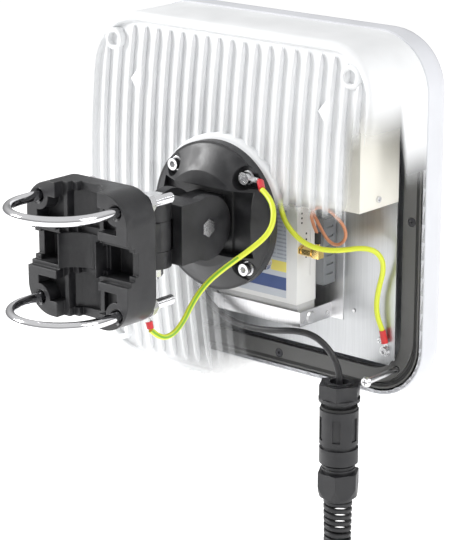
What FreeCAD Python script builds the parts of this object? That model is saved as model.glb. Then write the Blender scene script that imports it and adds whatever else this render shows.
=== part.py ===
"""Outdoor wireless bridge on a mast clamp, in millimetres.

+Z is up, +Y points from the mast to the radome, and +X is the side that the tilt bolt's head faces.
The origin is on the mast's axis, at the middle of the clamp's height.
Names ending in _back and _front are places along Y.
"""
import FreeCAD, Part
import Sketcher
import math
import os
import re

from FreeCAD import Rotation, Vector

SIZES = {
    # panel: cover, radome and what holds them together
    "panel_wide": 300, "panel_tall": 306, "panel_corner": 48,
    "panel_back": 173, "seam_back": 251, "radome_deep": 33, "radome_lip": 1, "radome_round": 17,
    "arch_radius": 800, "arch_mid": 12,
    "cover_wall": 3, "rim_wide": 7, "rib_tall": 4.5, "rib_wide": 5, "rib_gap": 13.3,
    "ledge_wide": 7, "ledge_deep": 4,
    "well_radius": 9.5, "well_bore": 5.6, "well_deep": 41, "well_floor": 4,
    "corner_screw_x": 125, "corner_screw_z": 128,
    "pad_radius": 66, "pad_proud": 1.5,
    "frame_wide": 19.3, "frame_thick": 4.5, "frame_gap": 0.4,
    "seal_wide": 3, "seal_tall": 2, "frame_screw_inset": 13,
    "post_radius": 4.5, "thread_gap": 0.1,
    # inside
    "plate_wide": 252, "plate_tall": 248, "plate_thick": 1.5, "plate_clip": 5, "plate_back": 246,
    "plate_screw_x": 112, "plate_screw_z": 104,
    "board_wide": 190, "board_thick": 1.6, "board_standoff": 13, "standoff_place": 84,
    "patch_wide": 62, "patch_pitch": 88, "patch_rise": 6,
    "sheet": 1.5, "housing_wide": 254, "housing_floor": 18, "housing_tall": 98, "housing_back": 194,
    "shelf_lip": 10,
    "bracket_left": -34, "bracket_right": 73, "bracket_top": 7, "bracket_back": 235,
    "tray_right": 60, "tray_back": 204, "tray_top": -81, "tray_floor": -94,
    "router_left": -17, "router_right": 48, "router_bottom": -75, "router_tall": 83,
    "router_back": 203, "router_deep": 25, "bezel_wide": 9, "router_wall": 1.8,
    "splitter_left": 14, "splitter_right": 65, "splitter_bottom": -62, "splitter_top": -6,
    "sma_y": 208, "sma_z": -28.5,
    # gland on the bottom wall
    "gland_x": 97, "gland_y": 210.5, "gland_radius": 16.3, "gland_neck": 12, "gland_bore": 8.2,
    "gland_body_tall": 46.5, "gland_hex": 31.5, "gland_cap_hex": 32, "gland_lock_tall": 15,
    "relief_bore": 5, "coupler_neck": 7,
    "lan_diameter": 5.5, "earth_diameter": 4.4, "coax_diameter": 2.8,
    # flange and yoke
    "flange_radius": 62, "flange_thick": 8.5, "flange_screw": 38, "screw_m6": 6,
    "dome_tall": 13, "cavity_half": 47, "lug_radius": 20,
    "tilt_y": 131, "hub_radius": 26.5, "cheek_inner": 15, "cheek_thick": 9.5, "side_gap": 0.3,
    "tilt_bolt": 8, "running_gap": 0.05,
    # arm and clamp
    "swivel_y": 90, "swivel_radius": 15.5, "swivel_bolt": 10, "lug_tall": 24, "fork_tall": 14,
    "mast_radius": 20, "clamp_wide": 106, "clamp_tall": 108, "clamp_corner": 25,
    "saddle_half": 14, "plate_outer": 19, "plate_far": 47, "channel_half": 17,
    "clamp_back": 4, "clamp_deep": 32, "web_thick": 8, "leg_x": 41, "leg_z": 41,
    "u_rod": 8, "u_out": 28.5, "u_leg_gap": 0.5, "u_tip": 68, "u_apex_gap": 0.3,
}

doc = FreeCAD.newDocument("wireless_bridge")
dims = doc.addObject("Spreadsheet::Sheet", "dims")
for row, (alias, value) in enumerate(SIZES.items(), 1):
    dims.set(f"A{row}", alias)
    dims.set(f"B{row}", str(value))
    dims.setAlias(f"B{row}", alias)
doc.recompute()

AXES = {
    "Z": Rotation(),
    "X": Rotation(Vector(0, 1, 0), 90),
    "Y": Rotation(Vector(1, 0, 0), -90),
    "-Z": Rotation(Vector(1, 0, 0), 180),
    "-X": Rotation(Vector(0, 1, 0), -90),
    "-Y": Rotation(Vector(1, 0, 0), 90),
}
WORD = re.compile(r"[a-z][a-z_0-9]*")
nodes = []


# ---------------------------------------------------------------- small makers

def size(alias):
    return float(getattr(dims, alias))


def bind(thing, prop, text):
    """Ties a property to the sheet: each word of the text is a cell's alias."""
    text = str(text)
    if WORD.search(text):
        thing.setExpression(prop, WORD.sub(lambda word: "dims." + word.group(), text))
    else:
        thing.setExpression(prop, text)


def place(thing, at, axis="Z"):
    thing.Placement.Rotation = AXES[axis]
    for letter, text in zip("xyz", at):
        bind(thing, ".Placement.Base." + letter, text)
    return thing


def block(x, y, z):
    box = doc.addObject("Part::Box", "block")
    for prop, (low, high) in zip(("Length", "Width", "Height"), (x, y, z)):
        bind(box, prop, f"({high}) - ({low})")
    return place(box, (x[0], y[0], z[0]))


def rod(radius, length, at, axis="Z"):
    cylinder = doc.addObject("Part::Cylinder", "rod")
    bind(cylinder, "Radius", radius)
    bind(cylinder, "Height", length)
    return place(cylinder, at, axis)


def cone(low, high, length, at, axis="Z"):
    frustum = doc.addObject("Part::Cone", "cone")
    bind(frustum, "Radius1", low)
    bind(frustum, "Radius2", high)
    bind(frustum, "Height", length)
    return place(frustum, at, axis)


def hexagon(flats, length, at, axis="Z"):
    prism = doc.addObject("Part::Prism", "hexagon")
    prism.Polygon = 6
    bind(prism, "Circumradius", f"({flats}) / 1.7320508")
    bind(prism, "Height", length)
    return place(prism, at, axis)


def join(*pieces):
    if len(pieces) == 1:
        return pieces[0]
    fused = doc.addObject("Part::MultiFuse", "join")
    fused.Shapes = list(pieces)
    return fused


def cut(base, *tools):
    result = doc.addObject("Part::Cut", "cut")
    result.Base = base
    result.Tool = join(*tools)
    return result


def overlap(first, second):
    result = doc.addObject("Part::Common", "overlap")
    result.Base = first
    result.Tool = second
    return result


def group(pieces):
    """Separate solids that share one node."""
    pack = doc.addObject("Part::Compound", "group")
    pack.Links = list(pieces)
    return pack


def node(name, thing):
    thing.Label = name
    nodes.append(thing)
    return thing


def plane_of(body, role):
    for feature in body.Origin.OriginFeatures:
        if feature.Role == role:
            return feature
    raise ValueError(role)


def sketch_on(body, role, offset="0"):
    sketch = body.newObject("Sketcher::SketchObject", "sketch")
    sketch.AttachmentSupport = (plane_of(body, role), [""])
    sketch.MapMode = "FlatFace"
    bind(sketch, ".AttachmentOffset.Base.z", offset)
    return sketch


def rounded_rectangle(sketch, wide, tall, corner):
    """A centred rectangle with round corners, its three sizes tied to the sheet."""
    half_w, half_h, radius = 150.0, 150.0, 40.0
    corners = [(1, 1), (-1, 1), (-1, -1), (1, -1)]
    arcs = []
    for turn, (sx, sy) in enumerate(corners):
        centre = Vector(sx * (half_w - radius), sy * (half_h - radius), 0)
        circle = Part.Circle(centre, Vector(0, 0, 1), radius)
        start = turn * math.pi / 2
        arcs.append(sketch.addGeometry(Part.ArcOfCircle(circle, start, start + math.pi / 2), False))
    sides = []
    for turn in range(4):
        start = sketch.getPoint(arcs[turn], 2)
        end = sketch.getPoint(arcs[(turn + 1) % 4], 1)
        sides.append(sketch.addGeometry(Part.LineSegment(start, end), False))
    for turn in range(4):
        sketch.addConstraint(Sketcher.Constraint("Tangent", arcs[turn], 2, sides[turn], 1))
        sketch.addConstraint(Sketcher.Constraint("Tangent", sides[turn], 2, arcs[(turn + 1) % 4], 1))
        if turn:
            sketch.addConstraint(Sketcher.Constraint("Equal", arcs[0], arcs[turn]))
    for index, kind in enumerate(("Horizontal", "Vertical", "Horizontal", "Vertical")):
        sketch.addConstraint(Sketcher.Constraint(kind, sides[index]))
    sketch.addConstraint(Sketcher.Constraint("Symmetric", arcs[0], 3, arcs[2], 3, -1, 1))
    for kind, first, second, rough, text in (
            ("DistanceX", sides[1], sides[3], 2 * half_w, wide),
            ("DistanceY", sides[2], sides[0], 2 * half_h, tall)):
        number = sketch.addConstraint(Sketcher.Constraint(kind, first, 1, second, 1, rough))
        bind(sketch, f"Constraints[{number}]", text)
    number = sketch.addConstraint(Sketcher.Constraint("Radius", arcs[0], radius))
    bind(sketch, f"Constraints[{number}]", corner)


def slab(wide, tall, corner, back, front):
    """A round-cornered slab that lies across Y, from back to front."""
    body = doc.addObject("PartDesign::Body", "slab")
    sketch = sketch_on(body, "XZ_Plane", f"-({front})")
    rounded_rectangle(sketch, wide, tall, corner)
    pad = body.newObject("PartDesign::Pad", "pad")
    pad.Profile = sketch
    bind(pad, "Length", f"({front}) - ({back})")
    return body


def cap_screw(shank, head, head_tall, length, at, axis, socket=True):
    """A socket-head screw: at is under the head, and the shank runs along the axis."""
    turned_back = {"Y": "-Y", "-Y": "Y", "X": "-X", "-X": "X", "Z": "-Z", "-Z": "Z"}[axis]
    body = join(rod(f"({shank})/2", length, at, axis), rod(f"({head})/2", head_tall, at, turned_back))
    step = {"Y": (0, -1, 0), "-Y": (0, 1, 0), "X": (-1, 0, 0), "-X": (1, 0, 0)}[axis]
    top = [f"({p}) + ({s})*({head_tall})*0.45" for p, s in zip(at, step)]
    if not socket:
        return body
    return cut(body, hexagon(f"({head})*0.5", head_tall, top, turned_back))


def pipe_path(points):
    """Straight runs joined by tangent arcs, each as large as its two runs allow."""
    points = [Vector(*point) for point in points]
    edges = []
    radii = []
    start = points[0]
    for before, corner, after in zip(points, points[1:], points[2:]):
        into = (corner - before).normalize()
        out = (after - corner).normalize()
        half_turn = into.getAngle(out) / 2
        back = 0.45 * min((corner - before).Length, (after - corner).Length)
        radii.append(back / math.tan(half_turn))
        first = corner - into * back
        last = corner + out * back
        middle = corner + (out - into).normalize() * radii[-1] * (1 / math.cos(half_turn) - 1)
        edges.append(Part.LineSegment(start, first).toShape())
        edges.append(Part.Arc(first, middle, last).toShape())
        start = last
    edges.append(Part.LineSegment(start, points[-1]).toShape())
    return Part.Wire(edges), min(radii)


def cord(name, points, diameter, limp):
    """A cord's plain tube along its route."""
    path, tightest = pipe_path(points)
    along = Vector(*points[1]) - Vector(*points[0])
    circle = Part.makeCircle(diameter / 2, Vector(*points[0]), along)
    tube = path.makePipeShell([Part.Wire([circle])], True, False)
    expected = math.pi * diameter ** 2 / 4 * path.Length
    print(f"{name}: {path.Length:.1f} long, tightest radius {tightest:.1f}"
          f" ({tightest / diameter:.1f} diameters, {limp}), volume {tube.Volume / expected:.3f}")
    feature = doc.addObject("Part::Feature", name)
    feature.Shape = tube
    return node(name, feature)


def ring_lug(name, hole, at, towards, tongue, lift=0.5):
    """A flat ring terminal across Y, its tongue and barrel pointing along (x, z); lift sets the barrel's Y."""
    x, y, z = at
    angle = math.degrees(math.atan2(towards[1], towards[0]))
    ring = Part.makeCylinder(hole + 2.6, 1, Vector(0, 0, 0), Vector(0, 1, 0))
    strip = Part.makeBox(tongue, 1, 4.4, Vector(0, 0, -2.2))
    barrel = Part.makeCylinder(1.9, 4, Vector(tongue - 1, lift, 0), Vector(1, 0, 0))
    shape = ring.fuse([strip, barrel]).cut(Part.makeCylinder(hole, 3, Vector(0, -1, 0), Vector(0, 1, 0)))
    feature = doc.addObject("Part::Feature", name)
    feature.Shape = shape.removeSplitter()
    feature.Placement.Rotation = Rotation(Vector(0, 1, 0), -angle)
    feature.Placement.Base = Vector(x, y, z)
    return feature


# ---------------------------------------------------------------- back cover

CORNERS = [(sx, sz) for sz in (1, -1) for sx in (-1, 1)]


def corner_place(sx, sz, x="corner_screw_x", z="corner_screw_z"):
    return f"{sx}*({x})", f"{sz}*({z})"


def arch(inset):
    """Everything in front of the cover's arched back, moved forwards by the inset."""
    long = "panel_wide + 20"
    return rod(f"arch_radius - ({inset})", long,
               ("-panel_wide/2 - 10", "panel_back + arch_radius", "arch_mid"), "X")


WALL_IN = "(-panel_tall/2 + cover_wall)"


def make_back_cover():
    inner_wide = "panel_wide - 2*rim_wide"
    inner_tall = "panel_tall - 2*rim_wide"
    inner_corner = "panel_corner - rim_wide"
    outer = overlap(slab("panel_wide", "panel_tall", "panel_corner", "panel_back - 1", "seam_back"),
                    arch("0"))
    field = slab(inner_wide, inner_tall, inner_corner, "panel_back - 2", "seam_back - 20")
    recess = cut(field, arch("rib_tall"))
    cavity = overlap(slab("panel_wide - 2*cover_wall", "panel_tall - 2*cover_wall",
                          "panel_corner - cover_wall", "panel_back - 2", "seam_back - ledge_deep"),
                     arch("rib_tall + cover_wall"))
    mouth = slab("panel_wide - 2*ledge_wide", "panel_tall - 2*ledge_wide", "panel_corner - ledge_wide",
                 "seam_back - ledge_deep - 1", "seam_back + 1")
    bars = []
    count = 21
    for index in range(count):
        middle = f"({index} - {(count - 1) / 2})*rib_gap"
        bars.append(block((f"{middle} - rib_wide/2", f"{middle} + rib_wide/2"),
                          ("panel_back - 1", "panel_back + 30"),
                          ("-panel_tall/2 + rim_wide - 1", "panel_tall/2 - rim_wide + 1")))
    layer = cut(overlap(slab(f"{inner_wide} + 0.5", f"{inner_tall} + 0.5", inner_corner,
                             "panel_back - 1", "seam_back - 20"), arch("0.7")),
                arch("rib_tall + 0.5"))
    ribs = overlap(join(*bars), layer)
    wells = []
    bores = []
    for sx, sz in CORNERS:
        x, z = corner_place(sx, sz)
        wells.append(overlap(rod("well_radius", "well_deep", (x, "panel_back", z), "Y"), arch("0")))
        bores.append(rod("well_bore", "well_deep - well_floor + 20", (x, "panel_back - 20", z), "Y"))
        bores.append(rod("2.8", "well_deep + 5", (x, "panel_back", z), "Y"))
    pad = rod("pad_radius", "rib_tall + cover_wall + pad_proud + 1.5",
              (0, "panel_back - pad_proud", 0), "Y")
    for sx, sz in CORNERS:
        x, z = corner_place(sx, sz, "flange_screw", "flange_screw")
        bores.append(rod("screw_m6/2 + 0.2", 30, (x, "panel_back - 10", z), "Y"))
        bores.append(rod(6.4, 12, (x, "panel_back + rib_tall + cover_wall + 1.5", z), "Y"))
    bulge = overlap(overlap(rod(21.4, "gland_lock_tall + 2", ("gland_x", "gland_y", WALL_IN)), arch("0")),
                    block(("gland_x - 30", "gland_x + 30"), ("panel_back", "gland_y - 5"), (WALL_IN, -100)))
    nut_space = rod(18.6, "gland_lock_tall + 1", ("gland_x", "gland_y", WALL_IN))
    seat = rod("gland_radius + 5", "cover_wall + 1.5",
               ("gland_x", "gland_y", "-panel_tall/2 - 1.5"), "Z")
    bores.append(rod("gland_neck + 0.2", 20, ("gland_x", "gland_y", "-panel_tall/2 - 10"), "Z"))
    shell = cut(cut(outer, join(recess, mouth)), cavity)
    return node("back_cover", cut(join(shell, ribs, pad, seat, bulge, *wells), nut_space, *bores))


def make_cover_screws():
    screws = []
    seat = "panel_back + well_deep - well_floor"
    for sx, sz in CORNERS:
        x, z = corner_place(sx, sz)
        head = cone(3.6, 4.6, 2.8, (x, f"{seat} - 2.8", z), "Y")
        cross = [block((f"{x} - {a}", f"{x} + {a}"), (f"{seat} - 3.8", f"{seat} - 1.3"),
                       (f"{z} - {b}", f"{z} + {b}")) for a, b in ((2.4, 0.5), (0.5, 2.4))]
        shank = rod(2.5, "seam_back - panel_back - well_deep + well_floor + 16", (x, seat, z), "Y")
        screws.append(cut(join(head, shank), *cross))
    return node("cover_screws", group(screws))


# ---------------------------------------------------------------- radome and seal

SIDES = [(1, 0), (-1, 0), (0, 1), (0, -1)]


def side_place(sx, sz):
    return (f"{sx}*(panel_wide/2 - frame_screw_inset)", f"{sz}*(panel_tall/2 - frame_screw_inset)")


def make_radome():
    front = "seam_back + radome_deep"
    outer = slab("panel_wide + 2*radome_lip", "panel_tall + 2*radome_lip", "panel_corner + radome_lip",
                 "seam_back", front)
    round_front_at(outer, "radome_round")
    inner = slab("panel_wide + 2*radome_lip - 2*cover_wall", "panel_tall + 2*radome_lip - 2*cover_wall",
                 "panel_corner + radome_lip - cover_wall", "seam_back - 1", f"{front} - cover_wall")
    round_front_at(inner, "radome_round - cover_wall")
    posts = []
    holes = []
    for sx, sz in CORNERS:
        x, z = corner_place(sx, sz)
        posts.append(rod(7.5, "radome_deep - frame_thick - 1",
                         (x, "seam_back + frame_thick", z), "Y"))
        holes.append(rod(4, 20, (x, "seam_back + frame_thick - 1", z), "Y"))
        x, z = corner_place(sx, sz, "plate_screw_x", "plate_screw_z")
        start = "plate_back + plate_thick"
        posts.append(rod("post_radius", f"{front} - cover_wall + 1 - ({start})", (x, start, z), "Y"))
        holes.append(rod(1.6, 14, (x, f"{start} - 1", z), "Y"))
    for sx, sz in SIDES:
        x, z = side_place(sx, sz)
        posts.append(rod("post_radius", "radome_deep - frame_thick - 1",
                         (x, "seam_back + frame_thick", z), "Y"))
        holes.append(rod(1.6, 12, (x, "seam_back + frame_thick - 1", z), "Y"))
    pillars = overlap(join(*posts), outer)
    return node("radome", cut(join(cut(outer, inner), pillars), *holes))


def round_front_at(body, radius):
    """Rounds the front edges of a slab: the ones farthest along +Y."""
    doc.recompute()
    far = body.Shape.BoundBox.YMax
    names = []
    for number, edge in enumerate(body.Shape.Edges, 1):
        if all(abs(vertex.Y - far) < 1e-4 for vertex in edge.Vertexes):
            names.append(f"Edge{number}")
    pad = body.Tip
    fillet = body.newObject("PartDesign::Fillet", "round_front")
    fillet.Base = (pad, names)
    bind(fillet, "Radius", radius)
    body.Tip = fillet
    return body


def make_radome_inserts():
    sleeves = []
    for sx, sz in CORNERS:
        x, z = corner_place(sx, sz)
        start = "seam_back + frame_thick + 0.5"
        sleeves.append(cut(rod("4 - thread_gap", 9, (x, start, z), "Y"), rod(2.55, 9, (x, start, z), "Y")))
    return node("radome_inserts", group(sleeves))


def make_seal_frame():
    edge = "radome_lip - cover_wall - frame_gap"
    wide = f"panel_wide + 2*({edge})"
    tall = f"panel_tall + 2*({edge})"
    corner = f"panel_corner + {edge}"
    front = "seam_back + frame_thick"
    ring = cut(slab(wide, tall, corner, "seam_back", front),
               slab(f"{wide} - 2*frame_wide", f"{tall} - 2*frame_wide", f"{corner} - frame_wide + 4",
                    "seam_back - 1", f"{front} + 1"))
    groove_out = "3.4 + seal_wide"
    groove = cut(slab(f"{wide} - 2*3.4", f"{tall} - 2*3.4", f"{corner} - 3.4",
                      "seam_back - 1", "seam_back + seal_tall"),
                 slab(f"{wide} - 2*({groove_out})", f"{tall} - 2*({groove_out})",
                      f"{corner} - {groove_out}", "seam_back - 2", f"{front} + 2"))
    lobes = []
    holes = [groove]
    for sx, sz in CORNERS:
        x, z = corner_place(sx, sz)
        lobes.append(rod(9, "frame_thick", (x, "seam_back", z), "Y"))
        holes.append(rod(2.9, 20, (x, "seam_back - 5", z), "Y"))
    for sx, sz in SIDES:
        x, z = side_place(sx, sz)
        lobes.append(rod(8, "frame_thick", (x, "seam_back", z), "Y"))
        holes.append(rod(2.2, 20, (x, "seam_back - 5", z), "Y"))
        holes.append(rod(4, 2.4, (x, "seam_back - 0.4", z), "Y"))
    return node("seal_frame", cut(join(ring, *lobes), *holes))


def make_seal_ring():
    edge = "radome_lip - cover_wall - frame_gap"
    wide = f"panel_wide + 2*({edge}) - 2*3.5"
    tall = f"panel_tall + 2*({edge}) - 2*3.5"
    corner = f"panel_corner + {edge} - 3.5"
    thick = "seal_wide - 0.2"
    ring = cut(slab(wide, tall, corner, "seam_back", "seam_back + seal_tall - 0.05"),
               slab(f"{wide} - 2*({thick})", f"{tall} - 2*({thick})", f"{corner} - ({thick})",
                    "seam_back - 1", "seam_back + seal_tall + 1"))
    return node("seal_ring", ring)


def make_frame_screws():
    screws = []
    for sx, sz in SIDES:
        x, z = side_place(sx, sz)
        head = rod(3.6, 1.8, (x, "seam_back + 0.1", z), "Y")
        socket = hexagon(2.5, 3, (x, "seam_back - 2", z), "Y")
        shank = rod(1.55, 11, (x, "seam_back + 1", z), "Y")
        screws.append(cut(join(head, shank), socket))
    return node("frame_screws", group(screws))


# ---------------------------------------------------------------- antenna side

EARTH_X = "plate_wide/2 - 9"
EARTH_Z = "-plate_tall/2 + 12"

def make_reflector_plate():
    plate = block(("-plate_wide/2", "plate_wide/2"), ("plate_back", "plate_back + plate_thick"),
                  ("-plate_tall/2", "plate_tall/2"))
    tools = []
    for sx, sz in CORNERS:
        tools.append(rod("plate_clip", 10, (f"{sx}*plate_wide/2", "plate_back - 5", f"{sz}*plate_tall/2"), "Y"))
        x, z = corner_place(sx, sz, "plate_screw_x", "plate_screw_z")
        tools.append(rod(1.8, 10, (x, "plate_back - 5", z), "Y"))
        x, z = corner_place(sx, sz, "standoff_place", "standoff_place")
        tools.append(rod(1.6, 10, (x, "plate_back - 5", z), "Y"))
    lip = block(("-plate_wide/2 + plate_clip + 4", "plate_wide/2 - plate_clip - 4"),
                ("plate_back", "plate_back + 9"),
                ("-plate_tall/2", "-plate_tall/2 + plate_thick"))
    tools.append(rod(2.1, 10, (EARTH_X, "plate_back - 5", EARTH_Z), "Y"))
    return node("reflector_plate", cut(join(plate, lip), *tools))


def make_plate_screws():
    screws = []
    for sx, sz in CORNERS:
        x, z = corner_place(sx, sz, "plate_screw_x", "plate_screw_z")
        head = cone(2.4, 3.1, 2, (x, "plate_back - 2", z), "Y")
        cross = [block((f"{x} - {a}", f"{x} + {a}"), ("plate_back - 3", "plate_back - 1"),
                       (f"{z} - {b}", f"{z} + {b}")) for a, b in ((1.7, 0.4), (0.4, 1.7))]
        shank = rod(1.55, 11, (x, "plate_back", z), "Y")
        screws.append(cut(join(head, shank), *cross))
    return node("plate_screws", group(screws))


def make_antenna_board():
    start = "plate_back + plate_thick + board_standoff"
    board = block(("-board_wide/2", "board_wide/2"), (start, f"{start} + board_thick"),
                  ("-board_wide/2", "board_wide/2"))
    holes = []
    for sx, sz in CORNERS:
        x, z = corner_place(sx, sz, "standoff_place", "standoff_place")
        holes.append(rod(1.5, 10, (x, f"{start} - 5", z), "Y"))
    return node("antenna_board", cut(board, *holes))


def make_board_standoffs():
    pillars = []
    start = "plate_back + plate_thick"
    for sx, sz in CORNERS:
        x, z = corner_place(sx, sz, "standoff_place", "standoff_place")
        pillar = hexagon(5.5, "board_standoff", (x, start, z), "Y")
        stud = rod(1.4, "board_standoff + board_thick + 1.4", (x, start, z), "Y")
        tail = rod(1.4, "plate_thick + 1", (x, "plate_back - 1", z), "Y")
        pillars.append(join(pillar, stud, tail))
    return node("board_standoffs", group(pillars))


def make_patch_elements():
    patches = []
    start = "plate_back + plate_thick + board_standoff + board_thick"
    for sx, sz in CORNERS:
        x, z = corner_place(sx, sz, "patch_pitch/2", "patch_pitch/2")
        plate = block((f"{x} - patch_wide/2", f"{x} + patch_wide/2"),
                      (f"{start} + patch_rise", f"{start} + patch_rise + 1"),
                      (f"{z} - patch_wide/2", f"{z} + patch_wide/2"))
        patches.append(join(plate, rod(2.5, "patch_rise + 0.5", (x, start, z), "Y")))
    return node("patch_elements", group(patches))


def make_radio_housing():
    top = "housing_floor + housing_tall"
    outer = block(("-housing_wide/2", "housing_wide/2"), ("housing_back", "plate_back"), ("housing_floor", top))
    inner = block(("-housing_wide/2 + sheet", "housing_wide/2 - sheet"),
                  ("housing_back + sheet", "plate_back + 1"), ("housing_floor - 1", f"{top} - sheet"))
    holes = [rod(1.7, "housing_wide + 10", ("-housing_wide/2 - 5", "housing_back + 24", "housing_floor + 6"), "X")]
    return node("radio_housing", cut(outer, inner, *holes))


def make_radio_board():
    start = "plate_back - 12"
    board = block(("-housing_wide/2 + 14", "housing_wide/2 - 14"), (start, f"{start} + board_thick"),
                  ("housing_floor + 14", "housing_floor + housing_tall - 12"))
    pegs = []
    for sx in (-1, 1):
        for height in ("housing_floor + 24", "housing_floor + housing_tall - 24"):
            pegs.append(rod(3, 12, (f"{sx}*(housing_wide/2 - 24)", start, height), "Y"))
    cans = []
    for left, low, wide, tall in ((-90, 30, 60, 40), (-16, 26, 46, 52), (48, 34, 40, 34)):
        cans.append(block((left, left + wide), (f"{start} - 5", f"{start} + 0.5"),
                          (f"housing_floor + {low - 8}", f"housing_floor + {low - 8 + tall}")))
    return node("radio_board", join(board, *pegs, *cans))


def make_shelf():
    plate = block(("-housing_wide/2", "housing_wide/2"), ("housing_back", "plate_back"),
                  ("housing_floor - sheet", "housing_floor"))
    back_edge = block(("-housing_wide/2 + 20", "housing_wide/2 - 20"), ("plate_back - sheet", "plate_back"),
                      ("housing_floor - shelf_lip", "housing_floor - sheet + 0.1"))
    ears = []
    for sx in (-1, 1):
        inside = f"{sx}*(housing_wide/2 - sheet)"
        inner = f"{sx}*(housing_wide/2 - 2*sheet)"
        low, high = (inner, inside) if sx > 0 else (inside, inner)
        ears.append(block((low, high), ("housing_back + 14", "housing_back + 34"),
                          ("housing_floor - 0.1", "housing_floor + shelf_lip")))
    hole = rod(1.3, "housing_wide + 10", ("-housing_wide/2 - 5", "housing_back + 24", "housing_floor + 6"), "X")
    way = rod(4.2, 20, (COAX_X, COAX_Y, "housing_floor - 10"))
    return node("shelf_plate", cut(join(plate, back_edge, *ears), hole, way))


def make_shelf_screws():
    screws = []
    for sx, axis in ((1, "-X"), (-1, "X")):
        at = (f"{sx}*housing_wide/2", "housing_back + 24", "housing_floor + 6")
        screws.append(cap_screw("2.4", "5", "1.8", "2*sheet + 3", at, axis))
    return node("shelf_screws", group(screws))


# ---------------------------------------------------------------- router and its bracket

COAX_X = "router_right + bezel_wide + 6.5"
COAX_Y = "sma_y + 3"


def make_router_bracket():
    back = block(("bracket_left", "bracket_right"), ("bracket_back + 10", "plate_back"),
                 ("tray_floor", "bracket_top"))
    thin = block(("bracket_left - 1", "bracket_right + 1"), ("bracket_back + 9", "plate_back - sheet"),
                 ("tray_floor - 1", "bracket_top + 1"))
    web = cut(back, thin)
    floor = block(("bracket_left", "tray_right"), ("tray_back", "plate_back - 0.1"),
                  ("tray_floor", "tray_floor + sheet"))
    wall = block(("bracket_left", "tray_right"), ("tray_back", "tray_back + sheet"), ("tray_floor", "tray_top"))
    end = block(("tray_right - sheet", "tray_right"), ("tray_back", "plate_back - 0.1"),
                ("tray_floor", "tray_top"))
    left_end = block(("bracket_left", "bracket_left + sheet"), ("tray_back", "plate_back - 0.1"),
                     ("tray_floor", "tray_top"))
    boss = cone(5.5, 4, 1.2, ("tray_right - 0.1", "tray_back + 14", "tray_floor + 6"), "X")
    return node("router_bracket", join(web, floor, wall, end, left_end, boss))


def make_bracket_rivets():
    rivets = []
    for y, z in (("tray_back + 4", "tray_floor + 4"), ("plate_back - 6", "tray_floor + 5")):
        rivets.append(cap_screw("2", "3.6", "0.9", "3", ("tray_right", y, z), "-X", False))
    for x in ("bracket_left + 8", "bracket_right - 6"):
        rivets.append(cap_screw("2", "4", "1.4", "4", (x, "plate_back - sheet", "bracket_top - 6"), "Y", False))
    return node("bracket_rivets", group(rivets))


def make_foot_pad():
    pad = block(("bracket_left + 4", "tray_right - 4"), ("router_back + 3", "router_back + router_deep"),
                ("tray_floor + sheet", "router_bottom"))
    return node("router_foot_pad", pad)


def make_router_case():
    top = "router_bottom + router_tall"
    front = "router_back + router_deep"
    outer = block(("router_left", "router_right"), ("router_back", front), ("router_bottom", top))
    inner = block(("router_left + router_wall", "router_right + 1"),
                  ("router_back + router_wall", f"{front} - router_wall"),
                  ("router_bottom + router_wall", f"{top} - router_wall"))
    port = block(("router_left - 1", "router_left + router_wall + 1"), (PLUG_Y + " - 6.4", PLUG_Y + " + 6.4"),
                 (PLUG_Z + " - 4.8", PLUG_Z + " + 4.8"))
    return node("router_case", cut(outer, inner, port))


def make_router_front():
    top = "router_bottom + router_tall"
    front = "router_back + router_deep"
    cap = block(("router_right", "router_right + bezel_wide"), ("router_back", front), ("router_bottom", top))
    right = "router_right + bezel_wide"
    lamps = [rod(0.9, 4, (f"{right} - 3", y, z), "X") for y, z in lamp_places()]
    jack_hole = rod(3.4, 14, (f"{right} - 12", "sma_y", "sma_z"), "X")
    groove = block((f"{right} - 0.6", f"{right} + 1"), ("router_back + 17", "router_back + 17.8"),
                   ("router_bottom + 22", f"{top} - 22"))
    return node("router_front", cut(cap, jack_hole, groove, *lamps))


def lamp_places():
    """Three signal lamps and a row of status lamps on the router's end."""
    bars = [("router_back + 6", f"router_bottom + router_tall - {6 + 4 * step}") for step in range(3)]
    dots = [("router_back + 12", f"router_bottom + router_tall - {24 + 5 * step}") for step in range(5)]
    return bars + dots


def make_router_lamps():
    right = "router_right + bezel_wide"
    pipes = [rod(0.85, 3.2, (f"{right} - 3", y, z), "X") for y, z in lamp_places()]
    return node("router_lamps", group(pipes))


def make_router_board():
    middle = "router_back + router_deep/2 + 5"
    board = block(("router_left + 3", "router_right - 0.5"), (middle, f"{middle} + board_thick"),
                  ("router_bottom + 3", "router_bottom + router_tall - 3"))
    parts = []
    for left, low, wide, tall, deep in ((12, 20, 18, 18, 2), (38, 46, 14, 14, 3), (34, 12, 20, 12, 5)):
        parts.append(block((f"router_left + {left}", f"router_left + {left + wide}"),
                           (f"{middle} - {deep}", f"{middle} + 0.2"),
                           (f"router_bottom + {low}", f"router_bottom + {low + tall}")))
    return node("router_board", join(board, *parts))


def make_router_label():
    label = block(("router_left + 6", "router_right - 2"), ("router_back - 0.3", "router_back"),
                  ("router_bottom + 4", "router_bottom + router_tall - 4"))
    return node("router_label", label)


def make_poe_splitter():
    box = block(("splitter_left", "splitter_right"), ("router_back + router_deep + 0.2", "plate_back - sheet"),
                ("splitter_bottom", "splitter_top"))
    slots = []
    for step in range(6):
        height = f"splitter_bottom + {8 + 8 * step}"
        slots.append(block(("splitter_right - 1", "splitter_right + 1"),
                           ("router_back + router_deep + 4", "plate_back - sheet - 4"),
                           (height, f"{height} + 2")))
    return node("poe_splitter", cut(box, *slots))


def make_sma_jack():
    right = "router_right + bezel_wide"
    barrel = rod(3.1, 17, (f"{right} - 8", "sma_y", "sma_z"), "X")
    nut = hexagon(7.6, 2.4, (right, "sma_y", "sma_z"), "X")
    return node("sma_jack", join(barrel, nut))


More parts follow.
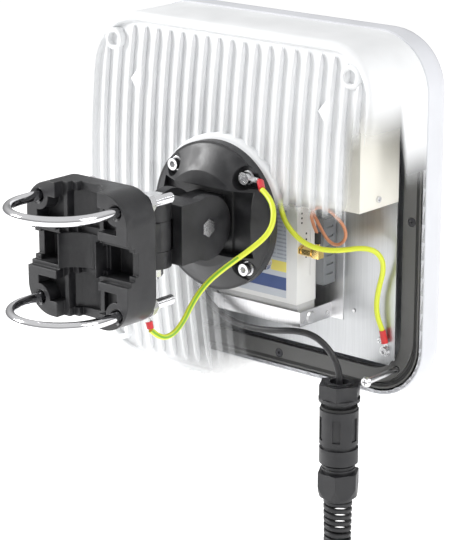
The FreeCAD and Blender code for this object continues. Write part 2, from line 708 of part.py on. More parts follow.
def make_sma_plug():
    """Right-angle plug: a hexagonal nut, a square elbow and a crimped tail that points up."""
    start = "router_right + bezel_wide + 4"
    elbow_x = f"{start} + 13.5"
    nut = cut(hexagon(8, 9, (start, "sma_y", "sma_z"), "X"),
              rod(3.15, 6, (f"{start} - 0.5", "sma_y", "sma_z"), "X"))
    neck = rod(3.2, 4, (f"{start} + 8", "sma_y", "sma_z"), "X")
    elbow = block((f"{elbow_x} - 3.5", f"{elbow_x} + 3.5"), ("sma_y - 3.5", "sma_y + 3.5"),
                  ("sma_z - 3.8", "sma_z + 3.8"))
    tail = rod(2, 6, (elbow_x, "sma_y", "sma_z + 3.5"))
    return node("sma_plug", join(nut, neck, elbow, tail))


def make_coax_sleeve():
    x = "router_right + bezel_wide + 17.5"
    return node("coax_sleeve", cut(rod(2.6, 9, (x, "sma_y", "sma_z + 8.5")), rod(2.03, 2.5, (x, "sma_y", "sma_z + 8")),
                                   rod("coax_diameter/2", 12, (x, "sma_y", "sma_z + 9.6"))))


COAX_ROUTE = [
    (74.5, 208, -18.9), (74, 208, -12), (70, 208, -5.3), (67.2, 208, 1.8), (68.8, 208.8, 8), (74.5, 211.2, 10.6),
    (81, 214.6, 7.6), (87, 217.6, 1.8), (92.2, 219.6, -4.6), (94.6, 220, -12), (92, 218.8, -18.8),
    (85.6, 216.8, -21.6), (79.4, 214.6, -17.4), (75.2, 213, -10.6), (71, 212, -3.4), (66.8, 211.4, 3.6),
    (64, 211.1, 10), (63.5, 211, 16),
]


def make_shelf_grommet():
    ring = rod(5.8, "sheet + 2.4", (COAX_X, COAX_Y, "housing_floor - sheet - 1.2"))
    groove = cut(rod(8, "sheet", (COAX_X, COAX_Y, "housing_floor - sheet")),
                 rod(4.1, "sheet", (COAX_X, COAX_Y, "housing_floor - sheet")))
    return node("shelf_grommet", cut(ring, groove, rod("coax_diameter/2 + 0.1", 12,
                                                       (COAX_X, COAX_Y, "housing_floor - 6"))))


# ---------------------------------------------------------------- network lead and gland

PLUG_Y = "(router_back + 9.5)"
PLUG_Z = "(router_bottom + 41)"

LAN_ROUTE = [
    (-32, 212.5, -34), (-42, 212.4, -33.6), (-53, 209, -40), (-56, 202, -52), (-50, 196, -64), (-40, 193.4, -75),
    (-30, 193, -86), (-17, 193, -94.5), (-1, 193, -99), (18, 193.2, -100), (40, 193.8, -98), (60, 197, -94.5),
    (74, 201.8, -96), (84, 206, -103), (91.5, 209, -113), (96.2, 210.5, -125), (97, 210.5, -137.5),
    (97.05, 210.5, -150),
]


def make_lan_plug():
    body = block(("router_left - 7", "router_left + 8"), (PLUG_Y + " - 5.85", PLUG_Y + " + 5.85"),
                 (PLUG_Z + " - 4.1", PLUG_Z + " + 4.1"))
    latch = block(("router_left - 6", "router_left - 1"), (PLUG_Y + " - 3", PLUG_Y + " + 3"),
                  (PLUG_Z + " + 4", PLUG_Z + " + 5.6"))
    boot = cone(4.4, 3.4, 8, ("router_left - 7", PLUG_Y, PLUG_Z), "-X")
    return node("lan_plug", join(body, latch, boot))


def gland_rod(radius, top, tall):
    """A round piece on the gland's axis, hanging from a height."""
    return rod(radius, tall, ("gland_x", "gland_y", f"({top}) - ({tall})"))


WALL_OUT = "(-panel_tall/2 - 1.5)"
BODY_TOP = "(-panel_tall/2 - 4)"
BODY_LOW = "(-panel_tall/2 - 4 - gland_body_tall)"


def make_gland_lock_nut():
    nut = hexagon("gland_hex", "gland_lock_tall - 3", ("gland_x", "gland_y", f"{WALL_IN} + 3"))
    collar = gland_rod("gland_radius + 1", f"{WALL_IN} + 3", "3")
    bore = gland_rod("gland_neck + 0.02", f"{WALL_IN} + gland_lock_tall + 1", "gland_lock_tall + 2")
    return node("gland_lock_nut", cut(join(nut, collar), bore))


def make_gland_o_ring():
    ring = gland_rod("gland_radius - 1", WALL_OUT, f"{WALL_OUT} - {BODY_TOP}")
    return node("gland_o_ring", cut(ring, gland_rod("gland_neck + 0.05", f"{WALL_OUT} + 1", 6)))


def make_gland_body():
    neck_top = f"{WALL_IN} + gland_lock_tall + 1"
    neck = gland_rod("gland_neck", neck_top, f"{neck_top} - {BODY_TOP} + 1")
    barrel = gland_rod("gland_radius", BODY_TOP, "gland_body_tall")
    thread = gland_rod("13", BODY_LOW, "16")
    waist = cut(gland_rod("gland_radius + 1", f"{BODY_TOP} - 30", "3.5"),
                gland_rod("gland_radius - 2", f"{BODY_TOP} - 29", "6"))
    grips = []
    for turn in range(6):
        grip = block((-3.2, 3.2), (0, 4), (0, 20))
        angle = 60 * turn + 30
        across = math.cos(math.radians(angle))
        along = math.sin(math.radians(angle))
        place(grip, (f"gland_x - (gland_radius - 1.4)*({along:.6f}) - 3.2*({across:.6f})",
                     f"gland_y + (gland_radius - 1.4)*({across:.6f}) - 3.2*({along:.6f})",
                     f"{BODY_TOP} - 26"))
        grip.Placement.Rotation = Rotation(Vector(0, 0, 1), angle)
        grips.append(grip)
    bore = gland_rod("gland_bore", f"{neck_top} + 1", "90")
    chamber = gland_rod("gland_bore + 3", f"{BODY_TOP} - 2", "gland_body_tall - 6")
    ribs = []
    for step in range(2):
        ribs.append(cut(gland_rod("14", f"{BODY_LOW} - {2 + 3 * step}", "1.4"),
                        gland_rod("12.5", f"{BODY_LOW} - {1 + 3 * step}", "4")))
    return node("gland_body", cut(join(neck, barrel, thread, *ribs), waist, bore, chamber, *grips))


def make_cable_coupler():
    """The straight joining socket that the inner and outer leads plug into."""
    block_tall = "gland_body_tall - 20"
    box = block(("gland_x - 7", "gland_x + 7"), ("gland_y - 7", "gland_y + 7"),
                (f"{BODY_TOP} - 6 - ({block_tall})", f"{BODY_TOP} - 6"))
    disc = gland_rod("gland_bore + 2.95", f"{BODY_TOP} - 16", "3")
    stem = gland_rod("3.2", f"{BODY_TOP} + coupler_neck", "coupler_neck + 7")
    port = block(("gland_x - 5.9", "gland_x + 5.9"), ("gland_y - 4.2", "gland_y + 4.2"),
                 (f"{BODY_TOP} - 7 - ({block_tall})", f"{BODY_TOP} - 18"))
    return node("cable_coupler", cut(join(box, disc, stem), port))


def make_gland_seal():
    sleeve = gland_rod("gland_bore - 0.03", f"{BODY_LOW} - 4", "12")
    return node("gland_seal", cut(sleeve, gland_rod("3.4", f"{BODY_LOW}", "30")))


CAP_TOP = f"({BODY_LOW} - 8.5)"
CAP_TALL = "21.5"


def make_gland_nut():
    nut = hexagon("gland_cap_hex", CAP_TALL, ("gland_x", "gland_y", f"{CAP_TOP} - {CAP_TALL}"))
    taper = cone("gland_radius - 0.4", "gland_radius + 3.4", 14, ("gland_x", "gland_y", f"{CAP_TOP} - {CAP_TALL}"))
    barrel = gland_rod("gland_radius + 3.4", CAP_TOP, "8")
    body = overlap(nut, join(taper, barrel))
    socket = gland_rod("13 + running_gap", f"{CAP_TOP} + 1", "9.5")
    bore = gland_rod("6.5", f"{CAP_TOP} + 1", "30")
    return node("gland_nut", cut(body, socket, bore))


RELIEF_TOP = f"({CAP_TOP} - {CAP_TALL})"


def make_strain_relief():
    """A flexible tail of rings that two pairs of staggered bridges hold together."""
    pitch = 5.6
    pieces = [gland_rod("12.4", RELIEF_TOP, "4")]
    for step in range(6):
        pieces.append(gland_rod(f"{12.2 - 0.2 * step:.1f}", f"{RELIEF_TOP} - {6.2 + pitch * step:.1f}", "3.6"))
    pieces.append(gland_rod("11.2", f"{RELIEF_TOP} - 38", "4.5"))
    for step in range(7):
        low = f"{RELIEF_TOP} - {3.6 + pitch * step:.1f} - 3"
        wide = ("gland_x - 10.5", "gland_x + 10.5"), ("gland_y - 2", "gland_y + 2")
        deep = ("gland_x - 2", "gland_x + 2"), ("gland_y - 10.5", "gland_y + 10.5")
        pieces.append(block(*(deep if step % 2 else wide), (low, f"{low} + 4")))
    wide = gland_rod("relief_bore + 1", f"{RELIEF_TOP} + 1", "39")
    return node("strain_relief", cut(join(*pieces), wide, gland_rod("relief_bore", f"{RELIEF_TOP} - 30", "30")))


# ---------------------------------------------------------------- earth wires

INNER_EARTH_ROUTE = [
    (50.4, 188.5, 18), (50.6, 189.6, 8.5), (54.5, 191.5, -3.5), (63.5, 194, -13.4), (74, 198, -20.2),
    (85.5, 205, -23.2), (97, 213.5, -22.8), (107, 222, -20.8), (115.5, 229.5, -22.5), (120.3, 235, -30.5),
    (119, 238, -42.5), (114.6, 238.5, -56), (112.2, 238.5, -70), (113, 239, -83), (116.5, 241.6, -93.5),
]
OUTER_EARTH_ROUTE = [
    (60.5, 153.5, 33.4), (70.5, 151.5, 28.6), (80, 145, 20), (85.5, 135.5, 9.5), (81.5, 125, -1), (71, 112.5, -12),
    (60.5, 100, -23), (53, 89.5, -35), (50, 80, -47), (49.5, 71, -59), (47.8, 60, -67.8),
    (45.2, 48.4, -68), (43, 40.3, -59.6),
]
SPLIT = 5


def make_inner_earth():
    top = ring_lug("inner_lug_top", 3.2, (size("flange_screw"), 187.2, size("flange_screw")), (0.55, -0.83), 10)
    low = ring_lug("inner_lug_low", 2.2, (117, 244.9, -112), (0.13, 1), 8, -0.9)
    node("inner_earth_lugs", group([top, low]))
    sleeves = []
    for start, end in ((Vector(43.5, 187.7, 29.6), Vector(*INNER_EARTH_ROUTE[0])),
                       (Vector(118.5, 242.9, -104.4), Vector(*INNER_EARTH_ROUTE[-1]))):
        sleeves.append(sleeve_between("inner_sleeve", start, end))
    node("inner_earth_sleeves", group(sleeves))
    cord("inner_earth_wire", INNER_EARTH_ROUTE, size("earth_diameter"), "limp")


def sleeve_between(name, start, end, short=0):
    """A crimp sleeve from a lug's barrel to the end of its wire, or a little short of it."""
    along = end - start
    shape = Part.makeCone(2.9, 2.7, along.Length - short, start, along)
    feature = doc.addObject("Part::Feature", name)
    feature.Shape = shape
    return feature


def make_inner_earth_screw():
    screw = cap_screw("4", "7", "2.6", "7", (EARTH_X, "plate_back - 1.1", EARTH_Z), "Y")
    return node("inner_earth_screw", screw)


# ---------------------------------------------------------------- flange and yoke on the panel

FLANGE_FACE = "(panel_back - pad_proud)"
SCREW_SEAT = "(panel_back - pad_proud - 7.5)"


def make_mount_flange():
    back = f"{FLANGE_FACE} - flange_thick"
    disc = rod("flange_radius", "flange_thick", (0, back, 0), "Y")
    dome = cone("flange_radius - 22", "flange_radius - 2", "dome_tall", (0, f"{back} - dome_tall", 0), "Y")
    cavity = block(("-cavity_half", "cavity_half"), (f"{back} - 40", back), ("-hub_radius - 0.8", "hub_radius + 0.8"))
    lug = rod("lug_radius", "2*cheek_inner - 2*side_gap", ("-cheek_inner + side_gap", "tilt_y", 0), "X")
    root = block(("-cheek_inner + side_gap", "cheek_inner - side_gap"), ("tilt_y", f"{back} + 1"),
                 ("-lug_radius", "lug_radius"))
    foot = block(("-cheek_inner - 8", "cheek_inner + 8"), (f"{back} - 1.5", f"{back} + 1"),
                 ("-hub_radius - 0.8", "hub_radius + 0.8"))
    hub_room = rod("hub_radius + 0.8", "2*cavity_half", ("-cavity_half", "tilt_y", 0), "X")
    ring = cut(join(cut(join(disc, dome), cavity), foot), hub_room)
    cuts = [rod("tilt_bolt/2 + running_gap", 80, (-40, "tilt_y", 0), "X")]
    for sx, sz in CORNERS:
        x, z = corner_place(sx, sz, "flange_screw", "flange_screw")
        outward = corner_place(sx, sz, "flange_screw + 12", "flange_screw + 12")
        cuts.append(rod(9.5, 30, (x, f"{SCREW_SEAT} - 30", z), "Y"))
        cuts.append(rod(9.5, 27, (outward[0], f"{SCREW_SEAT} - 30", outward[1]), "Y"))
        cuts.append(rod("screw_m6/2 + 0.2", 30, (x, f"{SCREW_SEAT} - 5", z), "Y"))
    cuts.append(block(("flange_screw", "flange_radius + 10"), (f"{back} - 10", f"{SCREW_SEAT} + 2.2"),
                      ("flange_screw - 8", "flange_screw + 4")))
    return node("mount_flange", cut(join(ring, lug, root), *cuts))


def make_flange_fixings():
    screws = []
    nuts = []
    washers = []
    inside = f"{FLANGE_FACE} + rib_tall + cover_wall + pad_proud + 1.5"
    for sx, sz in CORNERS:
        x, z = corner_place(sx, sz, "flange_screw", "flange_screw")
        screws.append(cap_screw("screw_m6", "10", "6", "27.5", (x, f"{SCREW_SEAT} - 1", z), "Y"))
        nuts.append(hex_nut("10", "5", "screw_m6/2", (x, inside, z), "Y"))
        if (sx, sz) != (1, 1):
            washers.append(cut(rod(6, 1, (x, f"{SCREW_SEAT} - 1", z), "Y"),
                               rod("screw_m6/2 + 0.2", 3, (x, f"{SCREW_SEAT} - 2", z), "Y")))
    thin = hex_nut("10", "1.6", "screw_m6/2", ("flange_screw", f"{inside} + 6.3", "flange_screw"), "Y")
    nuts.append(thin)
    node("flange_screws", group(screws))
    node("flange_nuts", group(nuts))
    node("flange_washers", group(washers))


def hex_nut(flats, tall, bore, at, axis):
    letter = "xyz".index(axis[-1].lower())
    before = list(at)
    before[letter] = f"({at[letter]}) - 1" if not axis.startswith("-") else f"({at[letter]}) + 1"
    return cut(hexagon(flats, tall, at, axis), rod(bore, f"({tall}) + 2", before, axis))


def make_tilt_bolt():
    seat = "cheek_inner + cheek_thick - 5.6"
    head = hexagon("13", "5.3", (seat, "tilt_y", 0), "X")
    shank = rod("tilt_bolt/2", f"({seat})*2 + 5.4", (f"-({seat}) - 5.3", "tilt_y", 0), "X")
    node("tilt_bolt", join(head, shank))
    nut = hex_nut("13", "5", "tilt_bolt/2", (f"-({seat})", "tilt_y", 0), "-X")
    node("tilt_nut", nut)


# ---------------------------------------------------------------- arm

def make_tilt_arm():
    wide = "cheek_inner + cheek_thick"
    half = "hub_radius - 2"
    hub = rod("hub_radius", f"2*({wide})", (f"-({wide})", "tilt_y", 0), "X")
    beam = block((f"-({wide})", wide), ("swivel_y + 8", "tilt_y"), (f"-({half})", half))
    forks = [rod("swivel_radius", "fork_tall", (0, "swivel_y", low))
             for low in ("lug_tall/2 + side_gap", "-lug_tall/2 - side_gap - fork_tall")]
    slot = block(("-cheek_inner", "cheek_inner"), ("tilt_y - lug_radius/2", "tilt_y + hub_radius + 1"),
                 ("-hub_radius - 1", "hub_radius + 1"))
    lug_room = rod("lug_radius + 0.8", "2*cheek_inner", ("-cheek_inner", "tilt_y", 0), "X")
    fork_room = rod("swivel_radius + 1.5", "lug_tall + 2*side_gap", (0, "swivel_y", "-lug_tall/2 - side_gap"))
    bores = [rod("tilt_bolt/2", 60, (-30, "tilt_y", 0), "X"),
             hexagon("13.4", 6, ("cheek_inner + cheek_thick - 5.6", "tilt_y", 0), "X"),
             hexagon("13.4", 6, ("-cheek_inner - cheek_thick + 5.6", "tilt_y", 0), "-X"),
             rod("swivel_bolt/2", 120, (0, "swivel_y", -60))]
    return node("tilt_arm", cut(join(hub, beam, *forks), slot, lug_room, fork_room, *bores))


def make_swivel_bolt():
    top = "lug_tall/2 + side_gap + fork_tall"
    head = hexagon("16", "6", (0, "swivel_y", top))
    shank = rod("swivel_bolt/2", f"2*({top}) + 11", (0, "swivel_y", f"-({top}) - 11"))
    node("swivel_bolt", join(head, shank))
    node("swivel_nut", hex_nut("16", "8", "swivel_bolt/2", (0, "swivel_y", f"-({top})"), "-Z"))


# ---------------------------------------------------------------- clamp

LEGS = [(sx, sz) for sz in (1, -1) for sx in (-1, 1)]
CLAMP_FRONT = "(clamp_back + clamp_deep)"


HELD_Y = "(leg_x - mast_radius - u_apex_gap - u_rod/2)"
BOW_Y = f"({HELD_Y} - u_out)"


def bow_at(height, radius, y):
    """The round end of a U-bolt, or the room that it needs once it is drawn in."""
    bow = doc.addObject("Part::Torus", "bow")
    bind(bow, "Radius1", "leg_x")
    bind(bow, "Radius2", radius)
    bow.Angle3 = 180
    place(bow, (0, y, height))
    bow.Placement.Rotation = Rotation(Vector(0, 0, 1), 180)
    return bow


def make_clamp_body():
    plate = slab("clamp_wide", "clamp_tall", "clamp_corner", "clamp_back", CLAMP_FRONT)
    lug = rod("swivel_radius", "lug_tall", (0, "swivel_y", "-lug_tall/2"))
    neck = block(("-swivel_radius + 1", "swivel_radius - 1"), (f"{CLAMP_FRONT} - 2", "swivel_y"),
                 ("-lug_tall/2", "lug_tall/2"))
    root = cone(31, 17, 20, (0, f"{CLAMP_FRONT} - 0.5", 0), "Y")
    cuts = [rod("mast_radius", 40, (0, 0, -20)), rod("swivel_bolt/2 + running_gap", 60, (0, "swivel_y", -30))]
    web = f"{CLAMP_FRONT} - web_thick"
    for sz in (-1, 1):
        across = [sorted_span(sz, "saddle_half", "clamp_tall/2 + 1"), sorted_span(sz, "plate_outer", "plate_far")]
        for half, floor in ((22.5, 12.2), (16.5, 17.2), (11, 22)):
            cuts.append(block((-half, half), (0, floor), across[0]))
        hollow = block(("-channel_half", "channel_half"), (0, 30), across[1])
        cuts.append(overlap(hollow, rod(26, 120, (0, 0, -60))))
    for sx in (-1, 1):
        span = sorted_span(sx, "mast_radius + 0.2", "clamp_wide/2 + 1")
        for half, floor in ((16.5, 8.5), (13, 12.5), (9.5, 16.5)):
            cuts.append(block(span, (0, f"clamp_back + {floor - 4}"), (-half, half)))
        cuts.append(block(sorted_span(sx, "mast_radius + 4", "clamp_wide/2 - 6"), (0, web), (-13, 13)))
    for sx, sz in LEGS:
        x, z = corner_place(sx, sz, "leg_x", "leg_z")
        cuts.append(rod("u_rod/2 + u_leg_gap", 60, (x, -5, z), "Y"))
        cuts.append(cone(6.6, "u_rod/2 + u_leg_gap", 2, (x, "clamp_back - 0.01", z), "Y"))
        pocket = block(sorted_span(sx, "leg_x - 20", "leg_x + 1"), ("clamp_back - 1", "clamp_back + 13"),
                       sorted_span(sz, "leg_z - 18", "leg_z + 1"))
        cuts.append(cut(pocket, rod("11", 60, (x, -5, z), "Y")))
    for height in ("leg_z", "-leg_z"):
        cuts.append(bow_at(height, "u_rod/2 + u_leg_gap", HELD_Y))
    return node("clamp_body", cut(join(plate, lug, neck, root), *cuts))


def sorted_span(sign, low, high):
    """The span from low to high, mirrored to the negative side where the sign says so."""
    if sign > 0:
        return low, high
    return f"-({high})", f"-({low})"


def make_u_bolt(name, height):
    legs = [rod("u_rod/2", f"u_tip - {BOW_Y}", (f"{sx}*leg_x", BOW_Y, height), "Y") for sx in (-1, 1)]
    return node(name, join(bow_at(height, "u_rod/2", BOW_Y), *legs))


def make_u_bolt_nuts():
    nuts = []
    for sx, sz in LEGS:
        x, z = corner_place(sx, sz, "leg_x", "leg_z")
        seat = f"{CLAMP_FRONT} + 1" if (sx, sz) == (1, -1) else CLAMP_FRONT
        collar = cone(8.6, 7.4, 1.6, (x, seat, z), "Y")
        body = hexagon("13", "7.5", (x, seat, z), "Y")
        nuts.append(cut(join(collar, body), rod("u_rod/2 + running_gap", 12, (x, f"{seat} - 1", z), "Y")))
    return node("u_bolt_nuts", group(nuts))


def make_outer_earth():
    diameter = size("earth_diameter")
    clamp_front = size("clamp_back") + size("clamp_deep")
    seat = size("panel_back") - size("pad_proud") - 7.5
    reach = size("flange_screw")
    lug = ring_lug("lug", 3.2, (reach, seat - 1, reach), (1, -0.12), 10)
    sleeve = sleeve_between("sleeve", Vector(51, 162.9, 36.2), Vector(*OUTER_EARTH_ROUTE[0]))
    node("outer_earth_lug_panel", join(lug, sleeve))
    leg = size("leg_x")
    lug = ring_lug("lug", 4.4, (leg, clamp_front, -size("leg_z")), (0.12, -1), 10, 1.95)
    sleeve = sleeve_between("sleeve", Vector(leg + 1.3, clamp_front + 3, -52.5), Vector(*OUTER_EARTH_ROUTE[-1]), 1.6)
    node("outer_earth_lug_clamp", join(lug, sleeve))
    cord("outer_earth_wire_panel", OUTER_EARTH_ROUTE[:SPLIT + 1], diameter, "limp")
    cord("outer_earth_wire_clamp", OUTER_EARTH_ROUTE[SPLIT:], diameter, "limp")


# ---------------------------------------------------------------- everything

def make_all():
    for maker in (make_back_cover, make_cover_screws, make_radome, make_radome_inserts, make_seal_frame,
                  make_seal_ring, make_frame_screws, make_reflector_plate, make_plate_screws,
                  make_antenna_board, make_board_standoffs, make_patch_elements, make_radio_housing,
                  make_radio_board, make_shelf, make_shelf_screws, make_router_bracket,
                  make_bracket_rivets, make_foot_pad, make_router_case, make_router_front,
                  make_router_lamps, make_router_board, make_router_label, make_poe_splitter,
                  make_sma_jack, make_sma_plug, make_coax_sleeve, make_shelf_grommet, make_lan_plug,
                  make_gland_lock_nut, make_gland_o_ring, make_gland_body, make_cable_coupler,
                  make_gland_seal, make_gland_nut, make_strain_relief, make_inner_earth,
                  make_inner_earth_screw, make_mount_flange, make_flange_fixings, make_tilt_bolt,
                  make_tilt_arm, make_swivel_bolt, make_clamp_body, make_u_bolt_nuts, make_outer_earth):
        maker()
    cord("coax_cable", COAX_ROUTE, size("coax_diameter"), "limp")
    cord("lan_cable", LAN_ROUTE, size("lan_diameter"), "medium")
    make_u_bolt("u_bolt_upper", "leg_z")
    make_u_bolt("u_bolt_lower", "-leg_z")
    doc.recompute()


def check_all():
    for thing in doc.Objects:
        if "Invalid" in thing.State or "Error" in thing.State:
            raise ValueError(f"{thing.Name} ({thing.Label}) failed: {thing.State}")
    for thing in nodes:
        if thing.Shape.isNull() or not thing.Shape.isValid() or not thing.Shape.Solids:
            raise ValueError(f"{thing.Label} has no valid solid")


make_all()
check_all()
os.makedirs("parts", exist_ok=True)
for thing in nodes:
    thing.Shape.exportStep(f"parts/{thing.Label}.step")
print(len(nodes), "nodes")
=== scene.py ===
"""Looks of the outdoor wireless bridge: its own skins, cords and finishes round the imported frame, in metres.

+Z is up, +Y points from the mast to the radome, and the origin is on the mast's axis.
"""

import bmesh
import bpy
import math
from mathutils import Matrix, Vector


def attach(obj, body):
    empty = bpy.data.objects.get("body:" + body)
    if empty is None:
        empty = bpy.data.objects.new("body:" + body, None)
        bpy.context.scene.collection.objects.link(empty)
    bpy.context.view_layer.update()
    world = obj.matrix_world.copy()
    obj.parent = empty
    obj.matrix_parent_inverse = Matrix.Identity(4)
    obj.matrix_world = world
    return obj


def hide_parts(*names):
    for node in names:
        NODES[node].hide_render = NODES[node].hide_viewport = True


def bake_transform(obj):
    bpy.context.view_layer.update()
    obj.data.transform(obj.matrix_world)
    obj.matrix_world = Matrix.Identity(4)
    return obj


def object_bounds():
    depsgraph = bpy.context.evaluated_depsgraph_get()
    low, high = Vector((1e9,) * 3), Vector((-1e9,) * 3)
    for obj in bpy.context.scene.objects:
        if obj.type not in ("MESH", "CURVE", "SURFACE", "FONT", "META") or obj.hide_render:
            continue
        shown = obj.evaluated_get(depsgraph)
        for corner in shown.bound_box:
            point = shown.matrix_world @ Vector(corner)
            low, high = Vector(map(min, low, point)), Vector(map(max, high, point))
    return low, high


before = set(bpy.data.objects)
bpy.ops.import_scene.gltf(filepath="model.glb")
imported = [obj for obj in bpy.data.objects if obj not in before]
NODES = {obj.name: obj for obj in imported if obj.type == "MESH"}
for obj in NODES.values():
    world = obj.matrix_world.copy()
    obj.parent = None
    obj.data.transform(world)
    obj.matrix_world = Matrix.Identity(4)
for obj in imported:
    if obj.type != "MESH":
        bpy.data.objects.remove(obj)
cad_box = [list(corner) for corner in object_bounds()]
MM = 0.001
scene = bpy.context.scene


# ---------------------------------------------------------------- camera

def place_camera():
    """A long lens behind the panel, to the right of it and a little above."""
    camera = bpy.data.cameras.new("camera")
    camera.lens = 103.6
    camera.sensor_fit = "VERTICAL"
    camera.sensor_height = 24
    camera.clip_end = 20
    stand = bpy.data.objects.new("camera", camera)
    scene.collection.objects.link(stand)
    right = Vector((0.7608, 0.6490, 0))
    up = Vector((-0.1811, 0.2123, 0.9603))
    back = Vector((0.6232, -0.7306, 0.2790))
    turn = Matrix((right, up, back)).transposed().to_4x4()
    stand.matrix_world = Matrix.Translation((1.2021, -1.2300, 0.4881)) @ turn
    scene.camera = stand


# ---------------------------------------------------------------- shader maths

class Signal:
    """A socket that adds up, so that shader maths reads as plain maths."""

    def __init__(self, finish, socket):
        self.finish = finish
        self.socket = socket

    def _with(self, kind, first, second):
        return self.finish.node("ShaderNodeMath", {"operation": kind}, {0: first, 1: second})

    def __add__(self, other):
        return self._with("ADD", self, other)

    def __radd__(self, other):
        return self._with("ADD", other, self)

    def __sub__(self, other):
        return self._with("SUBTRACT", self, other)

    def __rsub__(self, other):
        return self._with("SUBTRACT", other, self)

    def __mul__(self, other):
        return self._with("MULTIPLY", self, other)

    def __rmul__(self, other):
        return self._with("MULTIPLY", other, self)

    def __gt__(self, other):
        return self._with("GREATER_THAN", self, other)

    def larger(self, other):
        return self._with("MAXIMUM", self, other)

    def size(self):
        return self.finish.node("ShaderNodeMath", {"operation": "ABSOLUTE"}, {0: self})

    def rise(self, low, high):
        """A smooth step from 0 at low to 1 at high, whichever of the two is the larger."""
        return self.finish.node("ShaderNodeMapRange", {"interpolation_type": "SMOOTHSTEP"},
                                {0: self, 1: low, 2: high})


class Finish:
    """One material: its colour, gloss and surface, worked out from the piece's own coordinates."""

    def __init__(self, name, colour, rough, metal=0.0, **fixed):
        self.material = bpy.data.materials.new(name)
        self.material.use_nodes = True
        self.tree = self.material.node_tree
        self.shader = self.tree.nodes["Principled BSDF"]
        self.set("Base Color", (*colour, 1))
        self.set("Roughness", rough)
        self.set("Metallic", metal)
        for socket, value in fixed.items():
            self.set(socket.replace("_", " ").title().replace("Ior", "IOR"), value)
        self.colour = colour
        self.rough = rough
        self.coords = self.tree.nodes.new("ShaderNodeTexCoord")

    def set(self, socket, value):
        if isinstance(value, Signal):
            self.tree.links.new(value.socket, self.shader.inputs[socket])
        else:
            self.shader.inputs[socket].default_value = value

    def node(self, kind, settings=None, values=None, output=0):
        made = self.tree.nodes.new(kind)
        for key, value in (settings or {}).items():
            setattr(made, key, value)
        for key, value in (values or {}).items():
            if isinstance(value, Signal):
                self.tree.links.new(value.socket, made.inputs[key])
            else:
                made.inputs[key].default_value = value
        return Signal(self, made.outputs[output])

    def place(self, axis, source="Object"):
        """X, Y or Z of the piece's own coordinates, or U and V of its map."""
        return self.node("ShaderNodeSeparateXYZ", {}, {0: Signal(self, self.coords.outputs[source])},
                         "XYZ".index(axis))

    def grain(self, scale, detail=3.0, stretch=None):
        """Noise from 0 to 1; stretch draws it out along an axis, as rolling and brushing do."""
        spot = Signal(self, self.coords.outputs["Object"])
        if stretch:
            spot = self.node("ShaderNodeMapping", {}, {"Vector": spot, "Scale": stretch})
        return self.node("ShaderNodeTexNoise", {}, {"Vector": spot, "Scale": scale, "Detail": detail})

    def blend(self, amount, first, second):
        return self.node("ShaderNodeMix", {"data_type": "RGBA"},
                         {0: amount, 6: first if isinstance(first, Signal) else (*first, 1),
                          7: second if isinstance(second, Signal) else (*second, 1)}, 2)

    def surface(self, height, strength, distance=0.0004, rounding=0.0):
        """Bumps from a height, over edges that catch the light as rounded ones do."""
        values = {"Height": height, "Strength": strength, "Distance": distance}
        if rounding:
            values["Normal"] = self.node("ShaderNodeBevel", {"samples": 4}, {"Radius": rounding})
        self.set("Normal", self.node("ShaderNodeBump", {}, values))
        return self

    def vary(self, amount, darker, scale=25.0):
        """Slow uneven tone in the colour and the gloss."""
        cloud = self.grain(scale, 4.0).rise(0.3, 0.7)
        low = tuple(part * darker for part in self.colour)
        self.set("Base Color", self.blend(cloud, low, self.colour))
        self.set("Roughness", self.rough - amount / 2 + cloud * amount)
        return self


def moulded(name, colour, rough, rounding=0.0, scale=900.0, strength=0.08):
    finish = Finish(name, colour, rough).vary(0.08, 0.94)
    return finish.surface(finish.grain(scale, 2.0), strength, rounding=rounding)


def ghost_mask(finish):
    """Where the back cover is drawn solid: it fades away over the router bay, as in a cut-open view."""
    x = finish.place("X")
    z = finish.place("Z")
    y = finish.place("Y")
    above_shelf = z.rise(0.010, 0.034)
    left_part = x.rise(-0.015, -0.085)
    low_left = (x + z * 0.35).rise(-0.01, -0.09)
    back_face = above_shelf.larger(left_part * 0.75 + low_left * 0.25)
    floor_wall = x.rise(0.03, -0.10)
    side = x.rise(0.118, 0.132)
    near_back = y.rise(0.226, 0.214)
    right_wall = (z - near_back * 0.040).rise(0.030, 0.075)
    floor = z.rise(-0.1445, -0.1475) * y.rise(0.188, 0.196)
    back_face = back_face * (1 - floor) + floor_wall * floor
    return back_face * (1 - side) + right_wall * side


def white_cover():
    finish = moulded("white_cover", (0.86, 0.87, 0.88), 0.38, strength=0.05)
    finish.set("Alpha", ghost_mask(finish))
    return finish


def powder_coat():
    finish = Finish("black_powder_coat", (0.018, 0.018, 0.02), 0.42)
    cloud = finish.grain(60, 5.0).rise(0.35, 0.7)
    finish.set("Base Color", finish.blend(cloud, (0.012, 0.012, 0.014), (0.03, 0.03, 0.032)))
    finish.set("Roughness", 0.34 + cloud * 0.16)
    return finish.surface(finish.grain(1400, 3.0), 0.35, 0.0003, 0.0012)


def black_nylon():
    finish = Finish("black_nylon", (0.016, 0.016, 0.018), 0.45)
    cloud = finish.grain(80, 4.0).rise(0.3, 0.7)
    finish.set("Roughness", 0.36 + cloud * 0.16)
    return finish.surface(finish.grain(1600, 2.0), 0.2, 0.0002, 0.0006)


def soft_rubber():
    finish = Finish("black_rubber", (0.02, 0.02, 0.02), 0.7)
    return finish.surface(finish.grain(1200, 3.0), 0.3, 0.0003)


def brushed_sheet(name, colour, rough, along):
    finish = Finish(name, colour, rough, 1.0)
    streak = finish.grain(22, 6.0, along)
    finish.set("Roughness", rough - 0.1 + streak * 0.2)
    low = tuple(part * 0.9 for part in colour)
    finish.set("Base Color", finish.blend(streak.rise(0.3, 0.7), low, colour))
    return finish.surface(streak, 0.08, 0.0002, 0.0004)


